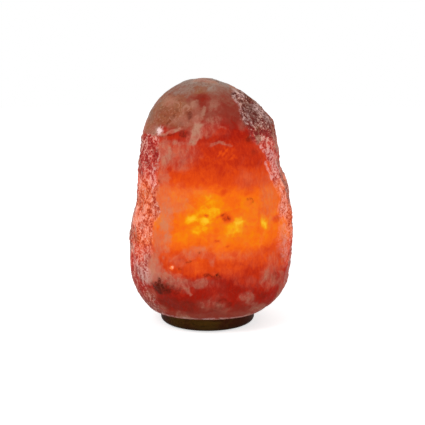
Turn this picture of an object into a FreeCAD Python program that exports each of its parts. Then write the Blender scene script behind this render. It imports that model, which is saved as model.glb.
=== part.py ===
import FreeCAD, Part

import math
import os

# A salt crystal lamp: a rough block of rock salt, bored from below, screwed to a round wooden base.
# A small mains lampholder with a spring clip is pushed up through the base into the bore, and its
# screw-in bulb lights the crystal from inside. Millimetres, +Z up, and -Y is the lamp's front.
# The origin is the point on the table under the middle of the base.

# ---- Driving dimensions ----

# Crystal
CRYSTAL_WIDTH = 158.0
CRYSTAL_DEPTH = 142.0
CRYSTAL_HEIGHT = 219.0
BORE_DIAMETER = 42.0
BORE_EDGE_RADIUS = 4.0

# Wooden base and rubber feet
BASE_DIAMETER = 90.0
BASE_THICKNESS = 15.0
BASE_LOWER_ROUND = 4.0
BASE_UPPER_ROUND = 1.5
CORD_CHANNEL_WIDTH = 8.0
CORD_CHANNEL_DEPTH = 7.5
FOOT_DIAMETER = 11.0
FOOT_HEIGHT = 1.0
FOOT_ROUND = 0.4
FOOT_INSET = 12.0
FOOT_ANGLES = (45.0, 135.0, 225.0, 315.0)

# Screws that hold the crystal on the base, each in a nylon plug. The cord channel takes the fourth quarter.
SCREW_DIAMETER = 4.0
SCREW_LENGTH = 40.0
SCREW_HEAD_DIAMETER = 8.0
SCREW_HEAD_HEIGHT = 2.4
SCREW_SINK = 3.0
SCREW_BORE_GAP = 0.5
SCREW_HOLE_GAP = 0.2
SCREW_POINT = 5.0
SCREW_SLOT_LENGTH = 4.8
SCREW_SLOT_WIDTH = 1.2
SCREW_SLOT_DEPTH = 1.1
SCREW_THREAD_PITCH = 1.8
SCREW_THREAD_DEPTH = 0.45
SCREW_THREAD_FLAT = 0.4
SCREW_ANGLES = (0.0, 180.0, 270.0)
PLUG_DIAMETER = 7.0
PLUG_WHOLE_LENGTH = 8.0  # its lower end, which isn't split
PLUG_SPLIT = 0.8
PLUG_PAST_SCREW = 2.0
PLUG_HOLE_ROOM = 1.0

# Lampholder
HOLDER_DIAMETER = 26.0
HOLDER_WALL = 1.8
HOLDER_CAP_LENGTH = 26.0
HOLDER_BODY_LENGTH = 28.0
HOLDER_ABOVE_SEAT = 1.0
HOLDER_CAP_ROUND = 4.0
HOLDER_SPIGOT_LENGTH = 5.0
HOLDER_SPIGOT_WALL = 0.9
HOLDER_RIM_HEIGHT = 10.0
HOLDER_RIM_STEP = 1.0
HOLDER_RIM_CHAMFER = 0.8
HOLDER_LIP_THICKNESS = 1.6
HOLDER_LIP_GAP = 0.6
INSERT_ABOVE_JOIN = 8.0
TERMINAL_LENGTH = 5.0
TERMINAL_WIDTH = 4.0
TERMINAL_HEIGHT = 6.0
TERMINAL_SCREW_DIAMETER = 2.6
TERMINAL_HOLE_DIAMETER = 1.8
TERMINAL_HOLE_HEIGHT = 3.7
TERMINAL_SCREW_HEAD = 1.4
TERMINAL_SCREW_SLOT = 0.6
TERMINAL_RIM = 2.05  # the ceramic left outside each terminal
SHELL_THICKNESS = 0.4
SHELL_LENGTH = 16.5
SHELL_FLOOR_HOLE = 4.6
CONTACT_WIDTH = 3.0
CONTACT_FOOT = 2.0
CONTACT_REACH = 3.8
CONTACT_RAMP = 0.6
CONTACT_THICKNESS = 0.5
CONTACT_HEIGHT = 1.2
CONTACT_GAP = 0.3

# Spring clip and the nut that holds it on the lampholder
CLIP_THICKNESS = 0.6
CLIP_WING_WIDTH = 8.0
CLIP_WING_HEIGHT = 31.0
CLIP_WING_ANGLES = (90.0, 210.0, 330.0)
CLIP_BORE_GAP = 0.3
CLIP_NUT_GAP = 0.3
NUT_THICKNESS = 2.0
NUT_HEIGHT = 4.0
NUT_GROOVES = 20
NUT_GROOVE_RADIUS = 0.5

# Cord entry. The cord itself isn't part of the model.
CORD_BORE_DIAMETER = 6.4
BUSHING_WALL = 1.4
BUSHING_FLANGE = 1.6
BUSHING_FLANGE_THICKNESS = 1.8
BUSHING_CHAMFER = 0.5
BUSHING_LENGTH = 8.0
GRIP_SCREW_DIAMETER = 4.0
GRIP_SCREW_HEIGHT = 11.0
GRIP_SLOT_WIDTH = 0.8
GRIP_SLOT_DEPTH = 1.0

# Screw thread of the small bulb cap and its socket
THREAD_PITCH = 2.822
CAP_CORE_RADIUS = 6.15
CAP_CREST_RADIUS = 6.85
SOCKET_CREST_RADIUS = 6.42
SOCKET_WALL_RADIUS = 7.1
THREAD_ROOT_WIDTH = 1.5
THREAD_CREST_WIDTH = 0.6
THREAD_BITE = 0.15
THREAD_LEAD_IN = 1.0
UNSCREW_TURNS = 3.5

# Bulb
BULB_DIAMETER = 26.0
BULB_LENGTH = 58.0
GLASS_THICKNESS = 0.7
CAP_METAL = 0.35
CAP_SKIRT_RADIUS = 7.6
CAP_LENGTH = 25.0
CAP_SKIRT_LENGTH = 7.0
CAP_FLARE_HEIGHT = 1.4
TIP_RADIUS = 2.6
TIP_HEIGHT = 1.2
INSULATOR_FOOT_RADIUS = 3.0
INSULATOR_HEIGHT = 3.2
INSULATOR_IN_CAP = 2.0
GLASS_IN_CAP = 5.0
GLASS_NECK_ABOVE_CAP = 1.5
STEM_RADIUS = 2.4
STEM_TO_LEADS = 1.3  # the stem's height over the height from its top to the filament
STEM_FLARE_HEIGHT = 4.0
STEM_EDGE = 1.0
STEM_PINCH = 2.0
LEAD_DIAMETER = 0.5
LEAD_ROOT = 1.0
LEAD_STRAIGHT = 2.0
LEAD_HOOK = 0.8
LEAD_SPREAD = 6.5
FILAMENT_BELOW_BELLY = 2.0
FILAMENT_COIL_RADIUS = 0.6
FILAMENT_WIRE_RADIUS = 0.15
FILAMENT_TURNS = 12
BULB_HEADROOM = 5.5

# The clearance all round a piece that sits snugly in another, and how far a cutting shape runs past a face
FIT_GAP = 0.05
PAST = 1.0

# ---- Worked out from the above ----

BORE_RADIUS = BORE_DIAMETER / 2
BASE_RADIUS = BASE_DIAMETER / 2
HOLDER_RADIUS = HOLDER_DIAMETER / 2
BULB_RADIUS = BULB_DIAMETER / 2

BASE_BOTTOM = FOOT_HEIGHT
SEAT = BASE_BOTTOM + BASE_THICKNESS  # the plane where the crystal sits on the base
SCREW_CIRCLE_RADIUS = (BORE_RADIUS + BASE_RADIUS) / 2
SCREW_HEAD_BOTTOM = BASE_BOTTOM + SCREW_SINK
SCREW_TIP = SCREW_HEAD_BOTTOM + SCREW_LENGTH
PLUG_TOP = SCREW_TIP + PLUG_PAST_SCREW
FOOT_CIRCLE_RADIUS = BASE_RADIUS - FOOT_INSET

HOLDER_BOTTOM = SEAT + HOLDER_ABOVE_SEAT
HOLDER_JOIN = HOLDER_BOTTOM + HOLDER_CAP_LENGTH  # where the cap meets the body
HOLDER_RIM = HOLDER_JOIN + HOLDER_BODY_LENGTH
SHOULDER = HOLDER_RIM - HOLDER_RIM_HEIGHT  # the clip sits under this
INSERT_BOTTOM = HOLDER_JOIN - HOLDER_SPIGOT_LENGTH
INSERT_TOP = HOLDER_JOIN + INSERT_ABOVE_JOIN
HOLDER_BORE_RADIUS = HOLDER_RADIUS - HOLDER_RIM_STEP - HOLDER_WALL
HOLDER_NECK_RADIUS = HOLDER_RADIUS - HOLDER_RIM_STEP
HOLDER_SPIGOT_RADIUS = HOLDER_BORE_RADIUS + HOLDER_SPIGOT_WALL
INSERT_RADIUS = HOLDER_BORE_RADIUS - FIT_GAP
TERMINAL_OFFSET = INSERT_RADIUS - TERMINAL_RIM - TERMINAL_LENGTH / 2
TERMINAL_PLACES = ((-TERMINAL_OFFSET, 0.0), (TERMINAL_OFFSET, 0.0))
SHELL_TOP = INSERT_TOP + SHELL_LENGTH
NUT_RADIUS = HOLDER_NECK_RADIUS + NUT_THICKNESS
GRIP_SCREW_Z = HOLDER_BOTTOM + GRIP_SCREW_HEIGHT

BULB_TIP = INSERT_TOP + CONTACT_HEIGHT + CONTACT_GAP
BULB_TOP = BULB_TIP + BULB_LENGTH
UNSCREW_RISE = UNSCREW_TURNS * THREAD_PITCH
BORE_TOP = BULB_TOP + UNSCREW_RISE + BULB_HEADROOM

CAP_BOTTOM = BULB_TIP + TIP_HEIGHT + INSULATOR_HEIGHT
CAP_TOP = BULB_TIP + CAP_LENGTH
CAP_SKIRT_BOTTOM = CAP_TOP - CAP_SKIRT_LENGTH
CAP_INNER_RADIUS = CAP_CORE_RADIUS - CAP_METAL
SKIRT_INNER_RADIUS = CAP_SKIRT_RADIUS - CAP_METAL
GLASS_BOTTOM = CAP_TOP - GLASS_IN_CAP
GLASS_NECK_RADIUS = SKIRT_INNER_RADIUS - FIT_GAP
BELLY_Z = BULB_TOP - BULB_RADIUS
FILAMENT_Z = BELLY_Z - FILAMENT_BELOW_BELLY
STEM_TOP = FILAMENT_Z - (FILAMENT_Z - GLASS_BOTTOM) / (1 + STEM_TO_LEADS)

# The socket's ridge runs midway between the turns of the cap's.
CAP_THREAD_START = CAP_BOTTOM + THREAD_LEAD_IN
CAP_THREAD_TURNS = (CAP_SKIRT_BOTTOM - THREAD_ROOT_WIDTH / 2 - CAP_THREAD_START) / THREAD_PITCH
SOCKET_THREAD_START = CAP_THREAD_START - THREAD_PITCH / 2
SOCKET_THREAD_TURNS = (SHELL_TOP - THREAD_LEAD_IN - SOCKET_THREAD_START) / THREAD_PITCH

# The crystal's outline, bottom to top: its height as a share of CRYSTAL_HEIGHT, then how far it
# reaches left, right, front and back, as shares of half its width and half its depth.
CRYSTAL_SECTIONS = (
    (0.000, 0.725, 0.720, 0.780, 0.760),
    (0.040, 0.815, 0.860, 0.870, 0.860),
    (0.130, 0.915, 0.975, 0.960, 0.950),
    (0.260, 0.955, 1.020, 1.010, 1.000),
    (0.365, 0.915, 1.030, 1.010, 1.010),
    (0.500, 0.850, 0.965, 0.970, 0.980),
    (0.640, 0.830, 0.870, 0.890, 0.930),
    (0.760, 0.780, 0.805, 0.780, 0.830),
    (0.850, 0.680, 0.660, 0.640, 0.700),
    (0.925, 0.530, 0.445, 0.450, 0.520),
    (0.975, 0.310, 0.205, 0.250, 0.320),
    (1.000, 0.110, 0.040, 0.080, 0.130),
)
SECTION_POINTS = 14
# 2 is an ellipse, and more is squarer. The outline is roundest at the bottom and soon gets squarer.
SQUARENESS_AT_BOTTOM = 2.05
SQUARENESS = 2.35
SQUARE_FROM = 0.15
RIPPLE = 0.018

# Flat faces left where the crystal was hewn: the direction each looks in, as an azimuth from +X and a
# lean upwards in degrees, the height of its middle, and its distance from the axis as a share.
HEWN_FACES = (
    (-92.0, 5.0, 0.36, 0.955),
    (-142.0, 2.0, 0.40, 0.985),
    (-42.0, 4.0, 0.34, 1.010),
    (-25.0, 44.0, 0.80, 0.790),
    (-105.0, 40.0, 0.83, 0.690),
    (172.0, 12.0, 0.62, 0.840),
    (140.0, 24.0, 0.76, 0.835),
    (62.0, 6.0, 0.42, 0.975),
    (112.0, -8.0, 0.22, 0.955),
    (48.0, 38.0, 0.82, 0.760),
    (12.0, -22.0, 0.10, 0.955),
    (-160.0, -24.0, 0.10, 0.905),
)

V = FreeCAD.Vector
UP = V(0, 0, 1)
AXIS_POINT = V(0, 0, 0)
FULL_TURN = 360.0
TOLERANCE = 0.01


# ---- Helpers ----


def cylinder(radius, low, high, x=0.0, y=0.0):
    return Part.makeCylinder(radius, high - low, V(x, y, low))


def ring(inner, outer, low, high):
    return cylinder(outer, low, high).cut(cylinder(inner, low - PAST, high + PAST))


def cone(low_radius, high_radius, low, high, x=0.0, y=0.0):
    return Part.makeCone(low_radius, high_radius, high - low, V(x, y, low))


def turned_wire(wire):
    return Part.Face(wire).revolve(AXIS_POINT, UP, FULL_TURN)


def turned(outline):
    """The solid that a closed outline of (radius, height) points makes when it is turned about the axis."""
    points = [V(r, 0, z) for r, z in outline]
    return turned_wire(Part.makePolygon(points + points[:1]))


def block(size_x, size_y, low, high, x=0.0, y=0.0):
    """A box centred on (x, y)."""
    return Part.makeBox(size_x, size_y, high - low, V(x - size_x / 2, y - size_y / 2, low))


def round_copies(shape, angles):
    """A list of copies of shape, turned about the axis."""
    copies = []
    for angle in angles:
        copy = shape.copy()
        copy.rotate(AXIS_POINT, UP, angle)
        copies.append(copy)
    return copies


def rounded(shape, radius, height, size):
    """Rounds the circular edges of that radius at that height."""
    edges = [
        e
        for e in shape.Edges
        if isinstance(e.Curve, Part.Circle)
        and abs(e.Curve.Radius - radius) < TOLERANCE
        and abs(e.Curve.Center.z - height) < TOLERANCE
    ]
    return shape.makeFillet(size, edges)


def thread_ridge(root_radius, crest_radius, start, turns):
    """One helical ridge, from a root inside its wall to its crest. The crest may be outside or inside."""
    half_root = THREAD_ROOT_WIDTH / 2
    half_crest = THREAD_CREST_WIDTH / 2
    profile = Part.makePolygon(
        [
            V(root_radius, 0, start - half_root),
            V(crest_radius, 0, start - half_crest),
            V(crest_radius, 0, start + half_crest),
            V(root_radius, 0, start + half_root),
            V(root_radius, 0, start - half_root),
        ]
    )
    helix = Part.makeHelix(THREAD_PITCH, turns * THREAD_PITCH, root_radius)
    helix.translate(V(0, 0, start))
    return Part.Wire(helix.Edges).makePipeShell([profile], True, True)


def save(name, shape):
    shape.exportStep(os.path.join("parts", name + ".step"))


# ---- Crystal, base and what joins them ----


def section_wire(height, left, right, front, back):
    """A closed, slightly uneven outline of the crystal at one height."""
    half_width = CRYSTAL_WIDTH / 2
    half_depth = CRYSTAL_DEPTH / 2
    grown = min(1, height / SQUARE_FROM)
    power = 2 / (SQUARENESS_AT_BOTTOM + grown * (SQUARENESS - SQUARENESS_AT_BOTTOM))
    points = []
    for i in range(SECTION_POINTS):
        angle = 2 * math.pi * i / SECTION_POINTS
        c, s = math.cos(angle), math.sin(angle)
        reach_x = half_width * (right if c > 0 else left)
        reach_y = half_depth * (back if s > 0 else front)
        x = reach_x * math.copysign(abs(c) ** power, c)
        y = reach_y * math.copysign(abs(s) ** power, s)
        uneven = 1 + RIPPLE * abs(s) * (
            math.sin(3 * angle + 6 * height) + math.sin(5 * angle - 9 * height)
        )
        points.append(V(x * uneven, y * uneven, SEAT + height * CRYSTAL_HEIGHT))
    curve = Part.BSplineCurve()
    curve.interpolate(Points=points, PeriodicFlag=True)
    return Part.Wire([curve.toShape()])


def beyond_face(azimuth, lean, height, share):
    """The block of space that lies beyond one hewn face."""
    a, e = math.radians(azimuth), math.radians(lean)
    reach = math.hypot(CRYSTAL_WIDTH / 2 * math.cos(a), CRYSTAL_DEPTH / 2 * math.sin(a))
    outwards = V(math.cos(a) * math.cos(e), math.sin(a) * math.cos(e), math.sin(e))
    flat = V(math.cos(a), math.sin(a), 0)
    point = flat * (reach * share) + V(0, 0, SEAT + height * CRYSTAL_HEIGHT)
    size = 2 * (CRYSTAL_WIDTH + CRYSTAL_HEIGHT)
    space = Part.makeBox(size, size, size, V(-size / 2, -size / 2, 0))
    space.Placement = FreeCAD.Placement(point, FreeCAD.Rotation(UP, outwards))
    return space


def screw_places():
    """(x, y) of each screw."""
    return [
        (
            SCREW_CIRCLE_RADIUS * math.cos(math.radians(a)),
            SCREW_CIRCLE_RADIUS * math.sin(math.radians(a)),
        )
        for a in SCREW_ANGLES
    ]


def salt_crystal():
    body = Part.makeLoft([section_wire(*s) for s in CRYSTAL_SECTIONS], True, False)
    for face in HEWN_FACES:
        body = body.cut(beyond_face(*face))
    bore = cylinder(BORE_RADIUS, SEAT - PAST, BORE_TOP)
    body = body.cut(rounded(bore, BORE_RADIUS, BORE_TOP, BORE_EDGE_RADIUS))
    for x, y in screw_places():
        hole_radius = PLUG_DIAMETER / 2 + FIT_GAP
        body = body.cut(cylinder(hole_radius, SEAT - PAST, PLUG_TOP + PLUG_HOLE_ROOM, x, y))
    return body


def screw_seat(x, y):
    """The space that one sunk screw needs in the base: counterbore, countersink and shank hole."""
    low = SCREW_HEAD_BOTTOM
    head_radius = SCREW_HEAD_DIAMETER / 2 + FIT_GAP
    shank_radius = SCREW_DIAMETER / 2 + FIT_GAP
    counterbore = cylinder(head_radius + SCREW_BORE_GAP, BASE_BOTTOM - PAST, low, x, y)
    countersink = cone(head_radius, shank_radius, low, low + SCREW_HEAD_HEIGHT, x, y)
    shank = cylinder(shank_radius + SCREW_HOLE_GAP, low, SEAT + PAST, x, y)
    return counterbore.fuse([countersink, shank])


def wooden_base():
    body = cylinder(BASE_RADIUS, BASE_BOTTOM, SEAT)
    body = rounded(body, BASE_RADIUS, BASE_BOTTOM, BASE_LOWER_ROUND)
    body = rounded(body, BASE_RADIUS, SEAT, BASE_UPPER_ROUND)
    body = body.cut(cylinder(BORE_RADIUS, BASE_BOTTOM - PAST, SEAT + PAST))
    for x, y in screw_places():
        body = body.cut(screw_seat(x, y))
    channel_top = BASE_BOTTOM + CORD_CHANNEL_DEPTH - CORD_CHANNEL_WIDTH / 2
    length = BASE_RADIUS + PAST
    channel = block(CORD_CHANNEL_WIDTH, length, BASE_BOTTOM - PAST, channel_top, 0, length / 2)
    crown = Part.makeCylinder(CORD_CHANNEL_WIDTH / 2, length, V(0, 0, channel_top), V(0, 1, 0))
    return body.cut(channel.fuse(crown))


def base_screw(x, y):
    """A countersunk wood screw, head down, with a cross recess and a ringed shank for its thread."""
    low = SCREW_HEAD_BOTTOM
    radius = SCREW_DIAMETER / 2
    root = radius - SCREW_THREAD_DEPTH
    outline = [(0, low), (SCREW_HEAD_DIAMETER / 2, low), (radius, low + SCREW_HEAD_HEIGHT)]
    ring_bottom = SEAT
    while ring_bottom + SCREW_THREAD_PITCH < SCREW_TIP - SCREW_POINT:
        crest = ring_bottom + (SCREW_THREAD_PITCH + SCREW_THREAD_FLAT) / 2
        outline += [(root, ring_bottom), (radius, crest), (radius, crest + SCREW_THREAD_FLAT)]
        ring_bottom += SCREW_THREAD_PITCH
    outline += [(root, SCREW_TIP - SCREW_POINT), (0, SCREW_TIP)]
    screw = turned(outline)
    for size_x, size_y in (
        (SCREW_SLOT_LENGTH, SCREW_SLOT_WIDTH),
        (SCREW_SLOT_WIDTH, SCREW_SLOT_LENGTH),
    ):
        screw = screw.cut(block(size_x, size_y, low - PAST, low + SCREW_SLOT_DEPTH))
    screw.translate(V(x, y, 0))
    return screw


def wall_plug(x, y):
    """A nylon plug, split along most of its length, that the screw bites into."""
    plug = ring(SCREW_DIAMETER / 2 + FIT_GAP, PLUG_DIAMETER / 2, SEAT, PLUG_TOP)
    split = block(PLUG_DIAMETER + PAST, PLUG_SPLIT, SEAT + PLUG_WHOLE_LENGTH, PLUG_TOP + PAST)
    plug = plug.cut(split)
    plug.translate(V(x, y, 0))
    return plug


def rubber_foot():
    foot = cylinder(FOOT_DIAMETER / 2, 0, FOOT_HEIGHT)
    foot = rounded(foot, FOOT_DIAMETER / 2, 0, FOOT_ROUND)
    foot.translate(V(FOOT_CIRCLE_RADIUS, 0, 0))
    return foot


# ---- Lampholder ----


def holder_cap():
    """The lower shell: a rounded cup with holes for the cord's bushing and for the cord grip screw."""
    outside = cylinder(HOLDER_NECK_RADIUS, HOLDER_BOTTOM, HOLDER_JOIN)
    outside = rounded(outside, HOLDER_NECK_RADIUS, HOLDER_BOTTOM, HOLDER_CAP_ROUND)
    inside = cylinder(HOLDER_BORE_RADIUS, HOLDER_BOTTOM + HOLDER_WALL, HOLDER_JOIN + PAST)
    spigot_seat = cylinder(HOLDER_SPIGOT_RADIUS + FIT_GAP, INSERT_BOTTOM, HOLDER_JOIN + PAST)
    neck_radius = CORD_BORE_DIAMETER / 2 + BUSHING_WALL
    cord_hole = cylinder(neck_radius + FIT_GAP, HOLDER_BOTTOM - PAST, HOLDER_JOIN)
    screw_radius = GRIP_SCREW_DIAMETER / 2 + FIT_GAP
    screw_hole = Part.makeCylinder(screw_radius, HOLDER_RADIUS, V(0, 0, GRIP_SCREW_Z), V(1, 0, 0))
    cap = outside.cut(inside)
    for hole in (spigot_seat, cord_hole, screw_hole):
        cap = cap.cut(hole)
    return cap


def cord_grip_screw():
    """A nylon grub screw through the cap's wall, which clamps the cord above its bushing."""
    inner = CORD_BORE_DIAMETER / 2
    radius = GRIP_SCREW_DIAMETER / 2
    length = HOLDER_NECK_RADIUS - inner
    screw = Part.makeCylinder(radius, length, V(inner, 0, GRIP_SCREW_Z), V(1, 0, 0))
    slot_corner = V(HOLDER_NECK_RADIUS - GRIP_SLOT_DEPTH, -radius, GRIP_SCREW_Z - GRIP_SLOT_WIDTH / 2)
    slot = Part.makeBox(2 * GRIP_SLOT_DEPTH, 2 * radius, GRIP_SLOT_WIDTH, slot_corner)
    return screw.cut(slot)


def cord_bushing():
    """A rubber grommet in the cap's bottom, held by a flange on each side of the wall."""
    bore = CORD_BORE_DIAMETER / 2
    neck = bore + BUSHING_WALL
    flange = neck + BUSHING_FLANGE
    wall_low, wall_high = HOLDER_BOTTOM, HOLDER_BOTTOM + HOLDER_WALL
    low = wall_low - BUSHING_FLANGE_THICKNESS
    return turned(
        [
            (bore, low),
            (flange - BUSHING_CHAMFER, low),
            (flange, low + BUSHING_CHAMFER),
            (flange, wall_low),
            (neck, wall_low),
            (neck, wall_high),
            (flange, wall_high),
            (flange - BUSHING_CHAMFER, wall_high + BUSHING_FLANGE_THICKNESS),
            (neck, low + BUSHING_LENGTH),
            (bore, low + BUSHING_LENGTH),
        ]
    )


def holder_body():
    """The upper shell: a tube with a spigot in the cap, a neck for the clip and a rim with an inner lip."""
    bore = HOLDER_BORE_RADIUS
    opening = CAP_SKIRT_RADIUS + HOLDER_LIP_GAP
    lip = HOLDER_RIM - HOLDER_LIP_THICKNESS
    return turned(
        [
            (bore, INSERT_BOTTOM),
            (HOLDER_SPIGOT_RADIUS, INSERT_BOTTOM),
            (HOLDER_SPIGOT_RADIUS, HOLDER_JOIN),
            (HOLDER_NECK_RADIUS, HOLDER_JOIN),
            (HOLDER_NECK_RADIUS, SHOULDER),
            (HOLDER_RADIUS, SHOULDER),
            (HOLDER_RADIUS, HOLDER_RIM - HOLDER_RIM_CHAMFER),
            (HOLDER_RADIUS - HOLDER_RIM_CHAMFER, HOLDER_RIM),
            (opening + HOLDER_RIM_CHAMFER, HOLDER_RIM),
            (opening, HOLDER_RIM - HOLDER_RIM_CHAMFER),
            (opening, lip),
            (bore, lip),
        ]
    )


def holder_insert():
    """The ceramic core: a plug in the body's lower end with a pocket for each terminal."""
    core = cylinder(INSERT_RADIUS, INSERT_BOTTOM, INSERT_TOP)
    pocket_low, pocket_high = INSERT_BOTTOM - PAST, INSERT_BOTTOM + TERMINAL_HEIGHT
    for x, y in TERMINAL_PLACES:
        core = core.cut(block(TERMINAL_LENGTH, TERMINAL_WIDTH, pocket_low, pocket_high, x, y))
    return core


def terminal(x, y):
    """A brass terminal block with a cross hole for the wire and a hole for its clamp screw."""
    low = INSERT_BOTTOM
    body = block(TERMINAL_LENGTH, TERMINAL_WIDTH, low, low + TERMINAL_HEIGHT, x, y)
    hole_start = V(x, y - TERMINAL_WIDTH, low + TERMINAL_HOLE_HEIGHT)
    wire_hole = Part.makeCylinder(TERMINAL_HOLE_DIAMETER / 2, 2 * TERMINAL_WIDTH, hole_start, V(0, 1, 0))
    screw_radius = TERMINAL_SCREW_DIAMETER / 2 + FIT_GAP
    screw_hole = cylinder(screw_radius, low - PAST, low + TERMINAL_HOLE_HEIGHT, x, y)
    return body.cut(wire_hole).cut(screw_hole)


def terminal_screw(x, y):
    """A cheese-head screw that clamps the wire from below."""
    radius = TERMINAL_SCREW_DIAMETER / 2
    head_radius = radius * 1.5
    head_low = INSERT_BOTTOM - TERMINAL_SCREW_HEAD
    shank_top = INSERT_BOTTOM + TERMINAL_HOLE_HEIGHT - TERMINAL_HOLE_DIAMETER / 2
    shank = cylinder(radius, INSERT_BOTTOM, shank_top, x, y)
    head = cylinder(head_radius, head_low, INSERT_BOTTOM, x, y)
    slot_top = head_low + TERMINAL_SCREW_HEAD / 2
    slot = block(3 * head_radius, TERMINAL_SCREW_SLOT, head_low - PAST, slot_top, x, y)
    return shank.fuse(head).removeSplitter().cut(slot)


def screw_shell():
    """The brass socket for the bulb: a thin tube with a female thread and a floor flange."""
    outer = SOCKET_WALL_RADIUS + SHELL_THICKNESS
    tube = ring(SOCKET_WALL_RADIUS, outer, INSERT_TOP, SHELL_TOP)
    floor = ring(SHELL_FLOOR_HOLE, outer, INSERT_TOP, INSERT_TOP + SHELL_THICKNESS)
    root = SOCKET_WALL_RADIUS + THREAD_BITE
    ridge = thread_ridge(root, SOCKET_CREST_RADIUS, SOCKET_THREAD_START, SOCKET_THREAD_TURNS)
    return tube.fuse(floor).fuse(ridge)


def centre_contact():
    """A strip on the core that steps up from its foot to lie under the middle of the bulb."""
    thickness = CONTACT_THICKNESS
    top = INSERT_TOP + CONTACT_HEIGHT
    foot_end = CONTACT_FOOT - CONTACT_REACH
    outline = [
        V(-CONTACT_REACH, 0, INSERT_TOP),
        V(foot_end, 0, INSERT_TOP),
        V(foot_end + CONTACT_RAMP, 0, top - thickness),
        V(TIP_RADIUS, 0, top - thickness),
        V(TIP_RADIUS, 0, top),
        V(foot_end + CONTACT_RAMP - thickness, 0, top),
        V(foot_end - thickness, 0, INSERT_TOP + thickness),
        V(-CONTACT_REACH, 0, INSERT_TOP + thickness),
    ]
    strip = Part.Face(Part.makePolygon(outline + outline[:1])).extrude(V(0, CONTACT_WIDTH, 0))
    strip.translate(V(0, -CONTACT_WIDTH / 2, 0))
    return strip


# ---- Spring clip ----


def clip_wing():
    """One leaf of the clip, bowed so that its middle presses on the wall of the bore."""
    root_radius = NUT_RADIUS + CLIP_THICKNESS + CLIP_NUT_GAP
    wall_reach = BORE_RADIUS - CLIP_BORE_GAP
    crest_radius = math.sqrt(wall_reach**2 - (CLIP_WING_WIDTH / 2) ** 2)
    half_height = CLIP_WING_HEIGHT / 2
    sagitta = crest_radius - root_radius
    bow = (half_height**2 + sagitta**2) / (2 * sagitta)
    middle = SHOULDER - half_height
    centre = crest_radius - bow
    half_angle = math.asin(half_height / bow)

    def point(radius, angle):
        return V(centre + radius * math.cos(angle), 0, middle + radius * math.sin(angle))

    inner_bow = bow - CLIP_THICKNESS
    outer_arc = Part.Arc(point(bow, -half_angle), point(bow, 0), point(bow, half_angle))
    inner_arc = Part.Arc(point(inner_bow, half_angle), point(inner_bow, 0), point(inner_bow, -half_angle))
    top_edge = Part.LineSegment(point(bow, half_angle), point(inner_bow, half_angle))
    low_edge = Part.LineSegment(point(inner_bow, -half_angle), point(bow, -half_angle))
    edges = [c.toShape() for c in (outer_arc, top_edge, inner_arc, low_edge)]
    leaf = Part.Face(Part.Wire(edges)).extrude(V(0, CLIP_WING_WIDTH, 0))
    leaf.translate(V(0, -CLIP_WING_WIDTH / 2, 0))
    return leaf


def spring_clip():
    """A flat steel ring under the holder's shoulder with three bowed leaves that hang from it."""
    low = SHOULDER - CLIP_THICKNESS
    outer = NUT_RADIUS + 2 * CLIP_THICKNESS
    washer = ring(HOLDER_NECK_RADIUS + FIT_GAP, outer, low, SHOULDER)
    return washer.fuse(round_copies(clip_wing(), CLIP_WING_ANGLES)).removeSplitter()


def clip_nut():
    """The ring nut that clamps the clip against the shoulder, grooved for the fingers."""
    high = SHOULDER - CLIP_THICKNESS
    nut = ring(HOLDER_NECK_RADIUS + FIT_GAP, NUT_RADIUS, high - NUT_HEIGHT, high)
    groove = cylinder(NUT_GROOVE_RADIUS, high - NUT_HEIGHT - PAST, high + PAST, NUT_RADIUS, 0)
    angles = [FULL_TURN * i / NUT_GROOVES for i in range(NUT_GROOVES)]
    return nut.cut(Part.makeCompound(round_copies(groove, angles)))


# ---- Bulb ----


def bulb_tip_contact():
    """The solder dome under the bulb."""
    high = BULB_TIP + TIP_HEIGHT
    sphere = (TIP_RADIUS**2 + TIP_HEIGHT**2) / (2 * TIP_HEIGHT)
    middle_x = TIP_RADIUS / 2
    middle_z = BULB_TIP + sphere - math.sqrt(sphere**2 - middle_x**2)
    bottom, rim, centre = V(0, 0, BULB_TIP), V(TIP_RADIUS, 0, high), V(0, 0, high)
    edges = [
        Part.Arc(bottom, V(middle_x, 0, middle_z), rim).toShape(),
        Part.LineSegment(rim, centre).toShape(),
        Part.LineSegment(centre, bottom).toShape(),
    ]
    return turned_wire(Part.Wire(edges))


def bulb_cap_insulator():
    """The black glass cone between the tip contact and the threaded cap."""
    low = BULB_TIP + TIP_HEIGHT
    high = CAP_BOTTOM + INSULATOR_IN_CAP
    radius = CAP_INNER_RADIUS - FIT_GAP
    return turned([(0, low), (INSULATOR_FOOT_RADIUS, low), (radius, CAP_BOTTOM), (radius, high), (0, high)])


def bulb_cap():
    """The threaded metal cap with its smooth skirt."""
    flare_top = CAP_SKIRT_BOTTOM + CAP_FLARE_HEIGHT
    shell = turned(
        [
            (CAP_INNER_RADIUS, CAP_BOTTOM),
            (CAP_CORE_RADIUS, CAP_BOTTOM),
            (CAP_CORE_RADIUS, CAP_SKIRT_BOTTOM),
            (CAP_SKIRT_RADIUS, flare_top),
            (CAP_SKIRT_RADIUS, CAP_TOP),
            (SKIRT_INNER_RADIUS, CAP_TOP),
            (SKIRT_INNER_RADIUS, flare_top + CAP_METAL / 2),
            (CAP_INNER_RADIUS, CAP_SKIRT_BOTTOM + CAP_METAL / 2),
        ]
    )
    root = CAP_CORE_RADIUS - THREAD_BITE
    return shell.fuse(thread_ridge(root, CAP_CREST_RADIUS, CAP_THREAD_START, CAP_THREAD_TURNS))


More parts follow.
